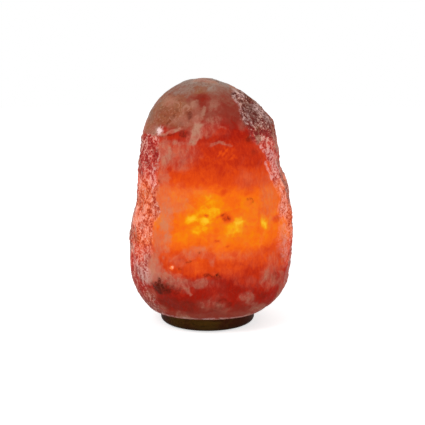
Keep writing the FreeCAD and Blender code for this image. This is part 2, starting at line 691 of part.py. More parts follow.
def glass_side(shrink):
    """The edges of the bulb's outside, neck to top, or of its inside when shrink is the glass's thickness."""
    neck = GLASS_NECK_RADIUS - shrink
    belly = BULB_RADIUS - shrink
    neck_top = CAP_TOP + GLASS_NECK_ABOVE_CAP
    diagonal = belly * math.sqrt(0.5)
    start = V(neck, 0, GLASS_BOTTOM)
    neck_end = V(neck, 0, neck_top)
    widest = V(belly, 0, BELLY_Z)
    shoulder = V(diagonal, 0, BELLY_Z + diagonal)
    top = V(0, 0, BELLY_Z + belly)
    swell = Part.BSplineCurve()
    swell.interpolate(Points=[neck_end, widest], InitialTangent=UP, FinalTangent=UP)
    return [
        Part.LineSegment(start, neck_end).toShape(),
        swell.toShape(),
        Part.Arc(widest, shoulder, top).toShape(),
    ]


def bulb_glass():
    """A thin glass envelope: a round neck that swells into a ball."""
    outer_top, inner_top = V(0, 0, BULB_TOP), V(0, 0, BULB_TOP - GLASS_THICKNESS)
    outer_start = V(GLASS_NECK_RADIUS, 0, GLASS_BOTTOM)
    inner_start = V(GLASS_NECK_RADIUS - GLASS_THICKNESS, 0, GLASS_BOTTOM)
    closing = [
        Part.LineSegment(outer_top, inner_top).toShape(),
        Part.LineSegment(inner_start, outer_start).toShape(),
    ]
    edges = glass_side(0.0) + glass_side(GLASS_THICKNESS) + closing
    return turned_wire(Part.Wire(Part.sortEdges(edges)[0]))


def bulb_stem():
    """The glass foot that seals the neck, narrows to a rod and is pinched round the lead wires."""
    flare = GLASS_NECK_RADIUS - GLASS_THICKNESS - FIT_GAP
    waist = (flare + 2 * STEM_RADIUS) / 3
    low = GLASS_BOTTOM
    return turned(
        [
            (0, low),
            (flare, low),
            (flare, low + STEM_EDGE),
            (waist, low + (STEM_EDGE + STEM_FLARE_HEIGHT) / 2),
            (STEM_RADIUS, low + STEM_FLARE_HEIGHT),
            (STEM_RADIUS, STEM_TOP - STEM_PINCH),
            (LEAD_ROOT + LEAD_DIAMETER, STEM_TOP),
            (0, STEM_TOP),
        ]
    )


def lead_wire(side):
    """One wire that leaves the stem, spreads out and stands up beside the filament's end."""
    start = V(side * LEAD_ROOT, 0, STEM_TOP)
    bend = V(side * LEAD_ROOT, 0, STEM_TOP + LEAD_STRAIGHT)
    end = V(side * LEAD_SPREAD, 0, FILAMENT_Z - LEAD_STRAIGHT)
    tip = V(side * LEAD_SPREAD, 0, FILAMENT_Z + LEAD_HOOK)
    path = Part.makePolygon([start, bend, end, tip])
    circle = Part.Wire([Part.Circle(start, UP, LEAD_DIAMETER / 2).toShape()])
    pipe = Part.BRepOffsetAPI.MakePipeShell(path)
    pipe.setTransitionMode(1)
    pipe.add(circle)
    pipe.build()
    pipe.makeSolid()
    return pipe.shape()


def bulb_filament():
    """A coiled tungsten wire between the two leads."""
    length = 2 * (LEAD_SPREAD - LEAD_DIAMETER / 2 - FILAMENT_WIRE_RADIUS)
    pitch = length / FILAMENT_TURNS
    helix = Part.makeHelix(pitch, length, FILAMENT_COIL_RADIUS)
    start = V(FILAMENT_COIL_RADIUS, 0, 0)
    rise = pitch / (2 * math.pi * FILAMENT_COIL_RADIUS)
    circle = Part.Wire([Part.Circle(start, V(0, 1, rise), FILAMENT_WIRE_RADIUS).toShape()])
    coil = Part.Wire(helix.Edges).makePipeShell([circle], True, True)
    coil.rotate(AXIS_POINT, V(0, 1, 0), 90)
    coil.translate(V(-length / 2, 0, FILAMENT_Z))
    return coil


# ---- Build ----


def all_at(make, places):
    """One compound of the solids that make(x, y) returns for each place."""
    return Part.makeCompound([make(x, y) for x, y in places])


def main():
    os.makedirs("parts", exist_ok=True)
    save("salt_crystal", salt_crystal())
    save("wooden_base", wooden_base())
    save("base_screws", all_at(base_screw, screw_places()))
    save("wall_plugs", all_at(wall_plug, screw_places()))
    save("rubber_feet", Part.makeCompound(round_copies(rubber_foot(), FOOT_ANGLES)))
    save("holder_cap", holder_cap())
    save("holder_body", holder_body())
    save("holder_insert", holder_insert())
    save("terminals", all_at(terminal, TERMINAL_PLACES))
    save("terminal_screws", all_at(terminal_screw, TERMINAL_PLACES))
    save("screw_shell", screw_shell())
    save("centre_contact", centre_contact())
    save("spring_clip", spring_clip())
    save("clip_nut", clip_nut())
    save("cord_bushing", cord_bushing())
    save("cord_grip_screw", cord_grip_screw())
    save("bulb_tip_contact", bulb_tip_contact())
    save("bulb_cap_insulator", bulb_cap_insulator())
    save("bulb_cap", bulb_cap())
    save("bulb_glass", bulb_glass())
    save("bulb_stem", bulb_stem())
    save("bulb_leads", Part.makeCompound([lead_wire(side) for side in (-1, 1)]))
    save("bulb_filament", bulb_filament())


main()
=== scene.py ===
import math
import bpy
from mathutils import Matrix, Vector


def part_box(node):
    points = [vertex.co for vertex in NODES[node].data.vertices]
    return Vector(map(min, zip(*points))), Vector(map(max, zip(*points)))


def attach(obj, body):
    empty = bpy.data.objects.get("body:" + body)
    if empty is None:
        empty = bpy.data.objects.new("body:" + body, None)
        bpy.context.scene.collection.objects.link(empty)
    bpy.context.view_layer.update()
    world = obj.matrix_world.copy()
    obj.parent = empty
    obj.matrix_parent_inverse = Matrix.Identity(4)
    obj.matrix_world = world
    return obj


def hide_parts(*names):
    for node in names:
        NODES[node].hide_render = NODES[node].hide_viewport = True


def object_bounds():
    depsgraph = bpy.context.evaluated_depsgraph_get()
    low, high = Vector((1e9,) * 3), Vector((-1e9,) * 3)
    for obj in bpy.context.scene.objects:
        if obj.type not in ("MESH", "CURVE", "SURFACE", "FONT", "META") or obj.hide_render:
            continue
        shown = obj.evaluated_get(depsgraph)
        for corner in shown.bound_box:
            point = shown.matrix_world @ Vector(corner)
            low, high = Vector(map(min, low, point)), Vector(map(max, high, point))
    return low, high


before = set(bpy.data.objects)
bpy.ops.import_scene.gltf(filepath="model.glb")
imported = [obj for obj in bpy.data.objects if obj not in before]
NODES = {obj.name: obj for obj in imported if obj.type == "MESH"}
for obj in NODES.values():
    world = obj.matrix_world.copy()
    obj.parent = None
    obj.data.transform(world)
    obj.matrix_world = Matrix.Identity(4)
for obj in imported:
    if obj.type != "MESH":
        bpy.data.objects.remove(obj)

from types import SimpleNamespace

import bpy
import numpy as np
from mathutils import Euler, Vector, noise

# The looks of a salt crystal lamp. The crystal is one sculpted mesh that stands for its plain solid, with
# masks for its painted glow, veils, stains and rough zones kept on its points, and every other piece of
# the lamp keeps its own shape and gets a material. Metres, +Z up, and -Y is the front that the camera sees.

CAD_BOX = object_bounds()
MM = 0.001
WHITE = (1, 1, 1, 1)

# ---- Camera ----

IMAGE_WIDTH = 425
FOCAL_PIXELS = 1345.66  # the photograph's focal length, in its own pixels
SENSOR_WIDTH = 36
CAMERA_PLACE = (0.0048, -1.25, 0.3832)
CAMERA_TILT = 12.52  # degrees below the horizon
CAMERA_CLIP = (0.01, 50)


def make_camera():
    data = bpy.data.cameras.new("camera")
    data.sensor_width = SENSOR_WIDTH
    data.lens = FOCAL_PIXELS / IMAGE_WIDTH * SENSOR_WIDTH
    data.clip_start, data.clip_end = CAMERA_CLIP
    camera = bpy.data.objects.new("camera", data)
    camera.location = CAMERA_PLACE
    camera.rotation_euler = (math.radians(90 - CAMERA_TILT), 0, 0)
    bpy.context.scene.collection.objects.link(camera)
    bpy.context.scene.camera = camera


# ---- Node helpers ----

MIX_INPUTS = (0, 6, 7)  # a colour mix's factor and its two colours, among the node's sockets
MIX_RESULT = 2


def srgb(red, green, blue):
    """A colour given as 0 to 255 screen values, as the linear values that the shaders use."""
    shares = [value / 255 for value in (red, green, blue)]
    linear = [share / 12.92 if share <= 0.04045 else ((share + 0.055) / 1.055) ** 2.4 for share in shares]
    return (*linear, 1)


class Nodes:
    """A node tree with short ways to add the nodes that are needed here."""

    def __init__(self, tree):
        self.tree = tree

    def node(self, kind, inputs=(), **settings):
        """Adds a node. Inputs is {name or index: value or output socket}."""
        made = self.tree.nodes.new(kind)
        for key, value in settings.items():
            setattr(made, key, value)
        for key, value in dict(inputs).items():
            self.fill(made.inputs[key], value)
        return made

    def fill(self, socket, value):
        """Links an output socket to an input, or sets the input to a plain value."""
        if isinstance(value, bpy.types.NodeSocket):
            self.tree.links.new(value, socket)
        else:
            socket.default_value = value

    def place(self):
        """The point being shaded, in the piece's own frame, in metres."""
        return self.node("ShaderNodeTexCoord").outputs["Object"]

    def attribute(self, name):
        return self.node("ShaderNodeAttribute", attribute_name=name).outputs["Fac"]

    def maths(self, operation, first, second=0, clamp=False):
        made = self.node("ShaderNodeMath", {0: first, 1: second}, operation=operation, use_clamp=clamp)
        return made.outputs[0]

    def add(self, first, second, clamp=False):
        return self.maths("ADD", first, second, clamp)

    def times(self, first, second, clamp=False):
        return self.maths("MULTIPLY", first, second, clamp)

    def less(self, first, second):
        return self.maths("SUBTRACT", first, second)

    def distance(self, value, middle):
        """How far a value is from a middle one, either way."""
        return self.maths("ABSOLUTE", self.less(value, middle))

    def blend(self, first, second, share):
        """A share of one pattern and the rest of another."""
        return self.add(self.times(first, share), self.times(second, 1 - share))

    def noise(self, vector, size, detail, rough=0.5, warp=0):
        """Fractal noise of 0 to 1, with lumps of about that size in metres."""
        inputs = {"Vector": vector, "Scale": 1 / size, "Detail": detail, "Roughness": rough}
        return self.node("ShaderNodeTexNoise", {**inputs, "Distortion": warp}).outputs["Fac"]

    def cells(self, vector, size, output, feature="F1"):
        """A pattern of irregular cells of about that size in metres."""
        inputs = {"Vector": vector, "Scale": 1 / size}
        return self.node("ShaderNodeTexVoronoi", inputs, feature=feature).outputs[output]

    def stretched(self, vector, factors):
        """The place with each axis scaled, for grain that runs one way."""
        return self.node("ShaderNodeMapping", {"Vector": vector, "Scale": factors}).outputs[0]

    def between(self, value, low, high, to_low=0, to_high=1):
        """Maps low..high onto to_low..to_high, smoothly and clamped."""
        inputs = {"Value": value, "From Min": low, "From Max": high, "To Min": to_low, "To Max": to_high}
        return self.node("ShaderNodeMapRange", inputs, interpolation_type="SMOOTHSTEP").outputs["Result"]

    def mix(self, factor, first, second, blend="MIX"):
        made = self.node("ShaderNodeMix", data_type="RGBA", blend_type=blend)
        for index, value in zip(MIX_INPUTS, (factor, first, second)):
            self.fill(made.inputs[index], value)
        return made.outputs[MIX_RESULT]

    def ramp(self, factor, stops):
        """A colour ramp through (position, colour) stops."""
        made = self.node("ShaderNodeValToRGB", {"Fac": factor})
        elements = made.color_ramp.elements
        while len(elements) < len(stops):
            elements.new(0.5)
        for element, (position, colour) in zip(elements, stops):
            element.position = position
            element.color = colour
        return made.outputs["Color"]

    def bump(self, height, distance, strength):
        inputs = {"Height": height, "Distance": distance, "Strength": strength}
        return self.node("ShaderNodeBump", inputs).outputs["Normal"]

    def background_rays(self):
        """1 for rays that see the white background, straight or by gloss and glass, and 0 for others."""
        rays = self.node("ShaderNodeLightPath").outputs
        total = self.add(rays["Is Camera Ray"], rays["Is Glossy Ray"])
        return self.add(total, rays["Is Transmission Ray"], clamp=True)


class Material(Nodes):
    """A new material, whose shader is filled last."""

    def __init__(self, name):
        self.material = bpy.data.materials.new(name)
        self.material.use_nodes = True
        super().__init__(self.material.node_tree)
        self.shader = self.tree.nodes["Principled BSDF"]

    def finish(self, **sockets):
        """Fills the shader's sockets, whose names are given with _ for each space."""
        for name, value in sockets.items():
            self.fill(self.shader.inputs[name.replace("_", " ")], value)
        return self.material


# ---- Crystal: measures ----

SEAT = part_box("wooden_base")[1].z  # where the crystal sits on the base
BORE_RADIUS = 21 * MM
BORE_TOP = SEAT + 109.9 * MM
PLUG_HOLE_RADIUS = 3.55 * MM
PLUG_HOLE_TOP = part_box("wall_plugs")[1].z + 1 * MM
SCREW_RING = 33 * MM
SCREW_PLACES = ((SCREW_RING, 0), (-SCREW_RING, 0), (0, -SCREW_RING))
VOXEL = 1.34 * MM
EDGE_SOFTENING = 10  # rounds of smoothing
NORMAL_SOFTENING = 6
MASK_SOFTENING = 8
BOTTOM_BLEND = (SEAT + 0.5 * MM, SEAT + 3.5 * MM)  # where the sculpting begins

# Shallow flats are chipped from random places all over the crystal.
SEED = 2
CHIP_COUNT = 260
CHIP_WEIGHT = 0.9  # chips are cut where the outside weight is more than this
MEAN_RADIUS = 65 * MM
CHIP_DEPTHS = (0.2 * MM, 1.1 * MM)
CHIP_TILT = 0.07
CHIP_EDGE = 0.2 * MM
CHIP_REACH = 20 * MM

# The smooth front face lies between two rough zones. Each line is a list of (height, x) in millimetres.
LEFT_EDGE = (
    (20, -40), (35, -45), (46, -57), (58, -55), (72, -51), (90, -49), (108, -46.5), (120, -42.5),
    (131, -45.5), (143, -42), (154, -44.5), (166, -41.5), (177, -45), (184, -43), (190, -58), (200, -80),
)
RIGHT_EDGE = (
    (20, 70), (60, 73), (72, 73), (90, 72), (108, 69), (126, 65.5), (137, 62), (152, 56.5), (162, 54.5),
    (177, 47.5), (186, 38.5), (193, 35), (206, 31), (218, 27.5), (231, 20), (240, 14),
)
EDGE_RAGS = 3 * MM  # how far small lumps move both lines
EDGE_WANDER = 14 * MM  # how far wide lumps move them, away from the front
EDGE_WANDER_UP = 22 * MM  # and move the left one up or down
WANDER_DEPTHS = (-45 * MM, -10 * MM)
EDGE_BLEND = (-1 * MM, 3 * MM)
LOW_ROUGHNESS = 0.45  # the rough zones fade to this near the bottom
LOW_ROUGHNESS_HEIGHTS = (40 * MM, 75 * MM)
BACK_SEAMS = (0, 0.18)  # where a wide cloud turns the back rough
BACK_DEPTHS = (0, 30 * MM)  # where the back begins

# The wide relief's rises and clouds, and the rise, size, turn and shift of the salt's small cubes.
SWELLS = ((1.1 * MM, "swells"), (0.5 * MM, "dents"))
CUBES = ((0.45 * MM, 4.6 * MM, (0.4, 0.5, 0.3), 0), (0.5 * MM, 2.4 * MM, (0.7, 0.2, 0.5), 3))
MEAN_CUBE = 0.5

# How far the right flank stands out beyond the plain solid at each height, in millimetres.
RIGHT_SWELL = (
    (30, 1.5), (55, 0.5), (70, 2.2), (80, 0.7), (105, 0.3), (125, 1.5), (140, 2.6), (150, 0.6), (160, 0.5),
    (167, 2), (185, 1.6), (198, 4.5), (208, 3.6), (222, 1.8), (235, 0),
)
RIGHT_TURN = (0.3, 0.8)  # how far a point has to face to the right

# The soft flat on the crystal's top: a point of it in millimetres, and its normal.
TOP_PLACE = (0, 6, 232.4)
TOP_NORMAL = (0.07, -0.03, 1)
TOP_SOFTNESS = 1 * MM

# A low step across the front's upper left: (x, height) in millimetres.
LEDGE = ((-80, 182), (-50, 187), (-43, 189), (-34, 191.5), (-26, 194.5), (-19, 196))
LEDGE_RISE = 0.8 * MM
LEDGE_WAVE = 0.6 * MM
LEDGE_EDGE = (-0.6 * MM, 0.8 * MM)  # it stands out from this far below its line
LEDGE_FADE = (6 * MM, 30 * MM)  # and sinks back this far below
LEDGE_END = (14 * MM, 24 * MM)  # it begins this far to the left of the middle
LEDGE_DEPTHS = (0, 20 * MM)  # and this far in front of it

# The crystal's noises: the lumps' size in millimetres, the octaves, and a shift that sets each apart.
CLOUDS = {
    "swells": (38, 3, 2),
    "dents": (11, 3, 6),
    "ledge": (6, 2, 14),
    "edge_rags": (14, 3, 4),
    "edge_wander": (30, 3, 17),
    "back_seams": (60, 3, 9),
    "across": (9, 3, 1),
    "across_fine": (3, 2, 2),
    "up": (9, 3, 3),
    "up_fine": (3, 2, 4),
    "ragged": (4, 3, 5),
    "height": (30, 2, 6),
    "height_fine": (8, 2, 7),
    "mottle": (16, 4, 8),
    "fine_mottle": (5, 3, 10),
    "hot": (15, 3, 9),
    "veils": (24, 4, 11),
    "stains": (8, 2, 12),
    "dust_and_sheen": (26, 3, 16),
    "frost": (7, 3, 13),
    "edge_highlight_cloud": (6, 2, 15),
}

# ---- Crystal: features ----

# How strongly the painted glow shows at each height in millimetres: 0 is dull rock and 1 is yellow.
GLOW_BY_HEIGHT = (
    (16, 0.12), (26, 0.21), (40, 0.34), (57, 0.42), (63, 0.6), (82, 0.68), (91, 0.79), (108, 0.83),
    (138, 0.8), (146, 0.7), (156, 0.63), (163, 0.56), (178, 0.54), (184, 0.46), (192, 0.42), (198, 0.3),
    (207, 0.16), (225, 0.06), (238, 0),
)
CHALK_BY_HEIGHT = ((214, 0), (220, 0.12), (226, 0.5), (231, 1))  # and the same for the dust on the top

# The front's own features, in millimetres. A patch is its x, height, half width, half height, the level
# that it brings its mask to, and its turn in degrees if it has one. Later patches lie over earlier ones.

# Where more or less painted glow shows than the height alone gives.
GLOWS = (
    # The bright middle, its fringes, and the plume above it.
    (13, 109, 40, 24, 0.84), (38, 98, 13, 8, 0.87), (18, 97, 10, 8, 0.89), (-20, 99, 10, 6, 0.88),
    (2, 122, 13, 9, 0.89, 25), (7, 130, 7, 6.5, 0.93), (1, 120, 10, 4.6, 0.91, 15),
    # Yellow spots.
    (-13.5, 113.5, 6, 4.4, 0.99, 15), (-1, 112.5, 4.5, 3, 0.99, -10), (-5, 104.5, 9, 4.8, 0.97, 12),
    (28, 112, 6.5, 3.4, 0.99, -8), (23, 106, 6.5, 5.5, 0.96, 30), (52, 108.5, 2.4, 5.4, 1, 5),
    # Dim specks in it and above it.
    (15, 117.4, 4.2, 2.4, 0.7, 20), (18, 114.5, 4.4, 3.4, 0.68, -20), (-0.5, 116.8, 2.4, 1.1, 0.74),
    (9.5, 114.8, 1.3, 1, 0.75), (8.6, 93.2, 3.2, 1.6, 0.75), (19.4, 89.6, 2.6, 1.2, 0.75),
    (15, 138.5, 4, 2.4, 0.7, 20), (36.6, 136.4, 3, 2, 0.72),
    # The flanks beside it.
    (-45, 113, 5, 10, 0.86), (63.7, 109, 4.5, 3.2, 0.7),
    # The top, darkest at the upper right and left.
    (45, 163, 6.5, 3, 0.53, -5), (-30, 185.5, 14, 4.5, 0.46, 8), (18, 187, 19, 7, 0.44),
    (51.5, 185, 3.4, 5, 0.46, 15), (48, 208, 15, 22, 0.13, 28), (-55, 205, 9, 16, 0.03, -25),
    (-30, 206, 20, 12, 0.22),
    # The bottom, with one bright point.
    (16, 44, 24, 11, 0.36), (42, 58, 18, 8, 0.5), (-42, 48, 7, 6, 0.2), (-30, 30, 20, 8, 0.26),
    (-32, 69, 1.6, 1.6, 0.92),
    # Bands and mottles over the rest.
    (5, 68, 22, 4, 0.66), (-3, 76, 10, 5, 0.7), (40, 146, 13, 8, 0.66), (-64, 172, 15, 18, 0.42),
    (-6, 219, 7, 7, 0.22), (38, 107, 8, 4, 0.88), (-3, 90, 6, 5, 0.77), (54, 50, 8, 7, 0.48, -30),
)
# Milky veils, and windows in them where the level is low.
VEILS = (
    (-24, 172, 14, 10, 0.46), (-39, 170, 5.5, 12, 0.95), (-28, 130, 12, 11, 0.42), (-38, 116, 5.5, 30, 0.9),
    (-10, 83.5, 11.5, 5.5, 0.6, 10), (4, 77, 1.6, 5, 0.6), (-50, 65, 8, 15, 0.95, 12),
    (-28, 56, 13, 7, 0.6, -20), (-7, 54.5, 11, 4.5, 0.36), (56, 62, 6, 15, 0.24, -26),
    (54.5, 59, 2.4, 9, 0.85, -26), (38, 38, 5, 6, 0.28, 20), (-3, 34, 6, 5, 0.2), (37, 148, 11, 8, 0.2),
    (56, 130, 8, 22, 0.3, 5), (6, 213, 6, 5, 0.45), (-9, 205, 5, 5, 0.38), (8, 46, 9, 6, 0.05),
    (-14, 189, 4, 5, 0.6), (-10.5, 212.5, 4, 3, 0.5), (-20, 138, 18, 5, 0.2), (20, 81, 27, 4, 0.24),
    (-40, 148, 5, 12, 0.55), (61, 68, 5, 10, 0.3), (12, 22, 44, 3, 0.16), (-12, 154, 18, 5, 0),
    (-21, 200, 9, 4, 0.5), (-34, 215, 6, 3.5, 0.6, 15), (39, 56, 5, 3, 0.2), (14, 28, 8, 3, 0.22),
    (-58, 60, 4, 9, 0.5, 20), (71, 82, 4, 20, 0.42), (60, 54, 8, 9, 0.45, -30), (6, 199, 8, 8, 0.3),
    (-24, 160, 10, 4, 0.26), (-46, 125, 5, 14, 0.75), (-46, 92, 5, 12, 0.55), (-26, 76, 7, 5, 0.36),
    (14, 38, 8, 4, 0.05), (-43, 24, 6, 4, 0.5), (48, 25, 6, 5, 0.5), (-1, 194, 5, 7, 0.36),
    (32, 197, 5, 5, 0.25), (33, 40, 4, 4, 0.36),
)
# Red-brown stains and specks.
STAINS = (
    (14.5, 118, 2.4, 1.4, 0.45, 20), (18.5, 115, 2.8, 2.2, 0.45, -20), (16, 113.4, 1.6, 1.6, 0.3),
    (-0.5, 116.8, 2.2, 0.9, 0.35), (8.6, 93.2, 2.6, 1.2, 0.22), (19.4, 89.6, 2.2, 1, 0.3),
    (-6.8, 82.4, 1.6, 1.6, 0.6), (-15.8, 75.2, 2.8, 1.5, 0.5, 20), (9.5, 61.7, 3, 3, 0.85, 15),
    (0.5, 61.4, 4, 1.6, 0.55, -10), (-31, 48, 8, 4.5, 0.42, -10), (-43, 49, 6, 5, 1),
    (-38, 46.5, 4, 2.6, 1, -20), (-36, 41, 7, 4, 0.34, -32), (-44.5, 55, 2.2, 3, 0.9),
    (-6, 219, 5.5, 5.5, 0.2, 10), (-21.5, 189.6, 5, 3, 0.5), (45, 163, 6, 2.4, 0.08, -5),
    (46, 206, 12, 18, 0.15, 28), (38, 205, 7, 12, 0.5, 28), (60, 210, 5, 16, 0.35, 32),
    (43, 172, 3, 3, 0.3), (-47, 160, 3.2, 7, 0.25), (38, 185, 4, 4, 0.45), (-24.8, 68, 1.6, 1.4, 0.4),
    (15, 206, 15, 10, 0.06), (66, 108, 1.6, 1.4, 0.3), (-16, 205, 2.2, 3.4, 0.35, 35),
    (-27, 209, 1.2, 1.2, 0.35), (-24, 198, 1.4, 1, 0.3), (-38.5, 203, 1.2, 1.4, 0.25),
    (-44, 146, 1.4, 1.6, 0.45), (-62, 150, 3, 4, 0.45), (-56, 134, 3, 3, 0.2), (-48, 172, 3, 4, 0.3),
    (-55, 160, 3.5, 3, 0.3, 20), (-63, 120, 2.4, 3, 0.3), (-60, 102, 2.4, 3, 0.25), (-66, 90, 3, 4, 0.35),
    (-45, 34, 3, 2, 0.3), (62, 56, 3, 4, 0.35, -20), (20, 34, 4, 2, 0.35), (-27, 32, 18, 8, 0.3),
    (8, 30, 5, 4, 0.25), (52, 40, 6, 5, 0.25, 30), (-44, 46, 6, 4, 0.85),
)
# Chalky dust, and where it is wiped off.
CHALKS = (
    (-31, 206, 21, 13, 0.8), (-14, 200, 9, 8, 0.45), (-57, 204, 10, 17, 0.95, -25),
    (-63, 193, 8, 9, 0.85, -20), (-71, 182, 5, 14, 0.85, -14), (46, 187, 2.6, 8, 0.85),
    (57, 215, 6, 15, 0.36, 35), (15, 211, 15, 9, 0.05), (-6, 219, 5.5, 5.5, 0.05, 10),
    (-29, 186, 13, 4, 0, 8), (-30, 212, 8, 5, 0.95, 20), (-38, 214, 10, 4, 1, 20),
    (-24, 222, 12, 5, 0.8, 12), (-6, 227, 12, 4, 0.9), (-8, 205, 6, 5, 0.35), (-2, 44, 4, 3, 0),
    (-51, 66, 7, 12, 0.75, 12), (-42, 46, 9, 8, 0), (-50, 192, 9, 7, 0.9), (-59, 58, 8, 10, 0.6, 20),
    (-52, 38, 6, 6, 0.35), (50, 209, 4, 15, 0.8, 39), (37, 225, 10, 3, 0.85, -33),
)
# Frost and painted highlights: a painted sparkle at the upper left, and thin frost with painted highlights
# on the flanks.
FROST_AND_HIGHLIGHT_PATCHES = (
    (-44.6, 190.8, 4, 3.3, 1, 20), (-45, 187.4, 1.2, 1.2, 0.9), (-49.2, 144.5, 2, 8, 0.4),
    (25, 225, 3, 4, 0.35, 20), (-32, 69, 1.2, 1.2, 0.45), (58, 168, 4, 7, 0.45, 30),
    (-50, 150, 3, 10, 0.25), (64, 154, 6, 14, 0.34, 8), (68, 90, 4, 14, 0.12), (46, 204, 9, 14, 0.05, 28),
    (-58, 66, 2, 8, 0.25, 10), (71, 122, 5, 18, 0.26), (-62, 106, 9, 12, 0.15), (32, 220, 5, 2.6, 0.4, -33),
    (73, 82, 4, 16, 0.22), (49, 206, 4, 14, 0.45, 39), (-65, 140, 4, 16, 0.18), (-70, 106, 6, 12, 0.18),
    (-68, 64, 5, 6, 0.3, 10), (-60, 57, 8, 9, 0.36, 20),
)
# A line is its half width, its level and its (x, height) points.
# Lines of painted glow.
GLOW_LINES = (
    (0.9, 0.7, ((10, 171), (12, 175), (14, 172), (16, 174.5))),
    (0.9, 0.66, ((20, 168), (23, 171), (26, 169))),
)
VEIL_LINES = (
    (1.2, 0.95, ((-43, 187.4), (-36, 189), (-30, 191.5), (-24, 194))),
    (0.8, 0.3, ((1, 194), (9, 195), (17, 194.5))), (1.1, 0.42, ((4, 179.2), (11, 182.8), (21, 178.6))),
    (3.3, 0.95, ((-9, 201), (-8.5, 196))), (4.8, 0.95, ((-8, 195), (-8.8, 190.5))),
    (3.2, 0.95, ((-10, 189), (-13, 183))), (1.3, 0.55, ((-2, 211), (-4.5, 205), (-6.5, 201))),
    (0.8, 0.7, ((-22, 206), (-21, 210), (-18, 212), (-16, 211), (-17, 208.5))),
    (0.8, 0.6, ((-14, 211), (-13, 215), (-10, 216.5), (-7.5, 216))),
    (0.7, 0.55, ((-29, 203), (-30, 199.5), (-34, 195.5))), (0.7, 0.5, ((-34, 214), (-29, 216), (-25, 214))),
    (0.7, 0.4, ((-41, 212), (-37, 214), (-32, 212))), (0.9, 0.55, ((-12, 86), (-7, 87), (-3, 84))),
    (1.3, 0.7, ((-38, 63), (-31, 60), (-24.7, 55), (-20, 50), (-16, 44))),
    (1, 0.5, ((-9, 58), (-3, 57.5), (1, 55))), (1.2, 0.6, ((-30, 180.5), (-22, 181.5), (-14, 181))),
    (0.9, 0.6, ((37, 43), (38.5, 38), (36, 34))), (0.8, 0.45, ((41, 42), (41.5, 37))),
    (0.8, 0.4, ((-6, 37), (-4, 33), (-5, 30))), (0.8, 0.4, ((2, 38), (1, 34))),
)
STAIN_LINES = (
    (1.1, 0.45, ((8, 34), (13, 37.6), (18, 37))),
    (1, 0.35, ((36.6, 131), (39.5, 131.4), (41, 129), (40, 127))),
    (1, 0.45, ((-18, 207), (-14, 204), (-16, 200))), (0.9, 0.42, ((-29.5, 205.5), (-31, 202.5))),
    (0.9, 0.38, ((-33.5, 199.5), (-36.5, 196.5))), (0.8, 0.4, ((-44, 186), (-36, 187), (-30, 189))),
)
# Frost with painted highlight streaks on the right shoulder and the upper right.
FROST_AND_HIGHLIGHT_LINES = (
    (1.4, 0.48, ((48, 176), (55, 171.5), (62, 165.5))), (1, 0.45, ((53, 163), (56, 155), (59, 146))),
    (1, 0.3, ((23, 222), (28, 214), (31, 206), (36, 198))), (0.8, 0.25, ((33, 210), (38, 203), (40, 196))),
)

# What is drawn into each mask: patches, how ragged and soft their edges are, lines and how soft theirs are.
FEATURES = {
    "glow": (GLOWS, 0.8, 0.7, GLOW_LINES, 0.4),
    "veil": (VEILS, 1.8, 0.55, VEIL_LINES, 0.3),
    "stain": (STAINS, 2, 0.5, STAIN_LINES, 0.3),
    "chalk": (CHALKS, 1, 0.35, (), 0.3),
    "frost": (FROST_AND_HIGHLIGHT_PATCHES, 1.5, 0.45, FROST_AND_HIGHLIGHT_LINES, 0.4),
}


# ---- Crystal: shape ----


def remeshed(node, voxel):
    """An even mesh of a CAD piece."""
    copy = bpy.data.objects.new("remesh", NODES[node].data.copy())
    bpy.context.scene.collection.objects.link(copy)
    modifier = copy.modifiers.new("remesh", "REMESH")
    modifier.mode = "VOXEL"
    modifier.voxel_size = voxel
    graph = bpy.context.evaluated_depsgraph_get()
    mesh = bpy.data.meshes.new_from_object(copy.evaluated_get(graph))
    bpy.data.objects.remove(copy)
    return mesh


def read_rows(items, field, width, kind):
    """One row of numbers for each of a mesh's points or edges."""
    flat = np.empty(len(items) * width, kind)
    items.foreach_get(field, flat)
    return flat.reshape(-1, width)


def points_of(mesh):
    return read_rows(mesh.vertices, "co", 3, np.float32).astype(float)


def normals_of(mesh):
    return read_rows(mesh.vertex_normals, "vector", 3, np.float32).astype(float)


def edges_of(mesh):
    return read_rows(mesh.edges, "vertices", 2, np.int32)


def put_points(mesh, points):
    mesh.vertices.foreach_set("co", points.astype(np.float32).ravel())
    mesh.update()


def smoothed(values, edges, rounds, weight=1):
    """Moves each row halfway to the mean of its neighbours, several times."""
    starts, ends = edges.T
    total = len(values)
    count = np.bincount(edges.ravel(), minlength=total)
    for _ in range(rounds):
        columns = [
            (np.bincount(starts, column[ends], total) + np.bincount(ends, column[starts], total)) / count
            for column in values.T
        ]
        values = values + 0.5 * weight * (np.stack(columns, 1) - values)
    return values


def step(value, low, high):
    """0 below low, 1 above high and smooth between."""
    share = np.clip((value - low) / (high - low), 0, 1)
    return share * share * (3 - 2 * share)


def toward(values, level, share):
    """Moves values by a share of the way to a level."""
    return values + (level - values) * share


def cloud(points, name):
    """The named fractal noise at each point, about -1 to 1."""
    size, octaves, shift = CLOUDS[name]
    places = (points / (size * MM) + shift).tolist()
    return np.array([noise.fractal(place, 1, 2, octaves) for place in places])


def blocks(points, size, turn, shift):
    """A random height of 0 to 1 for each small cube of a turned lattice, as salt breaks in cubes."""
    lattice = np.array(Euler(turn).to_matrix())
    places = (points @ lattice.T / size + shift).tolist()
    return np.array([noise.cell(place) for place in places])


def along(line, heights):
    """The x of a (height, x) line at each height, in metres."""
    line_heights, line_x = np.array(line).T * MM
    return np.interp(heights, line_heights, line_x)


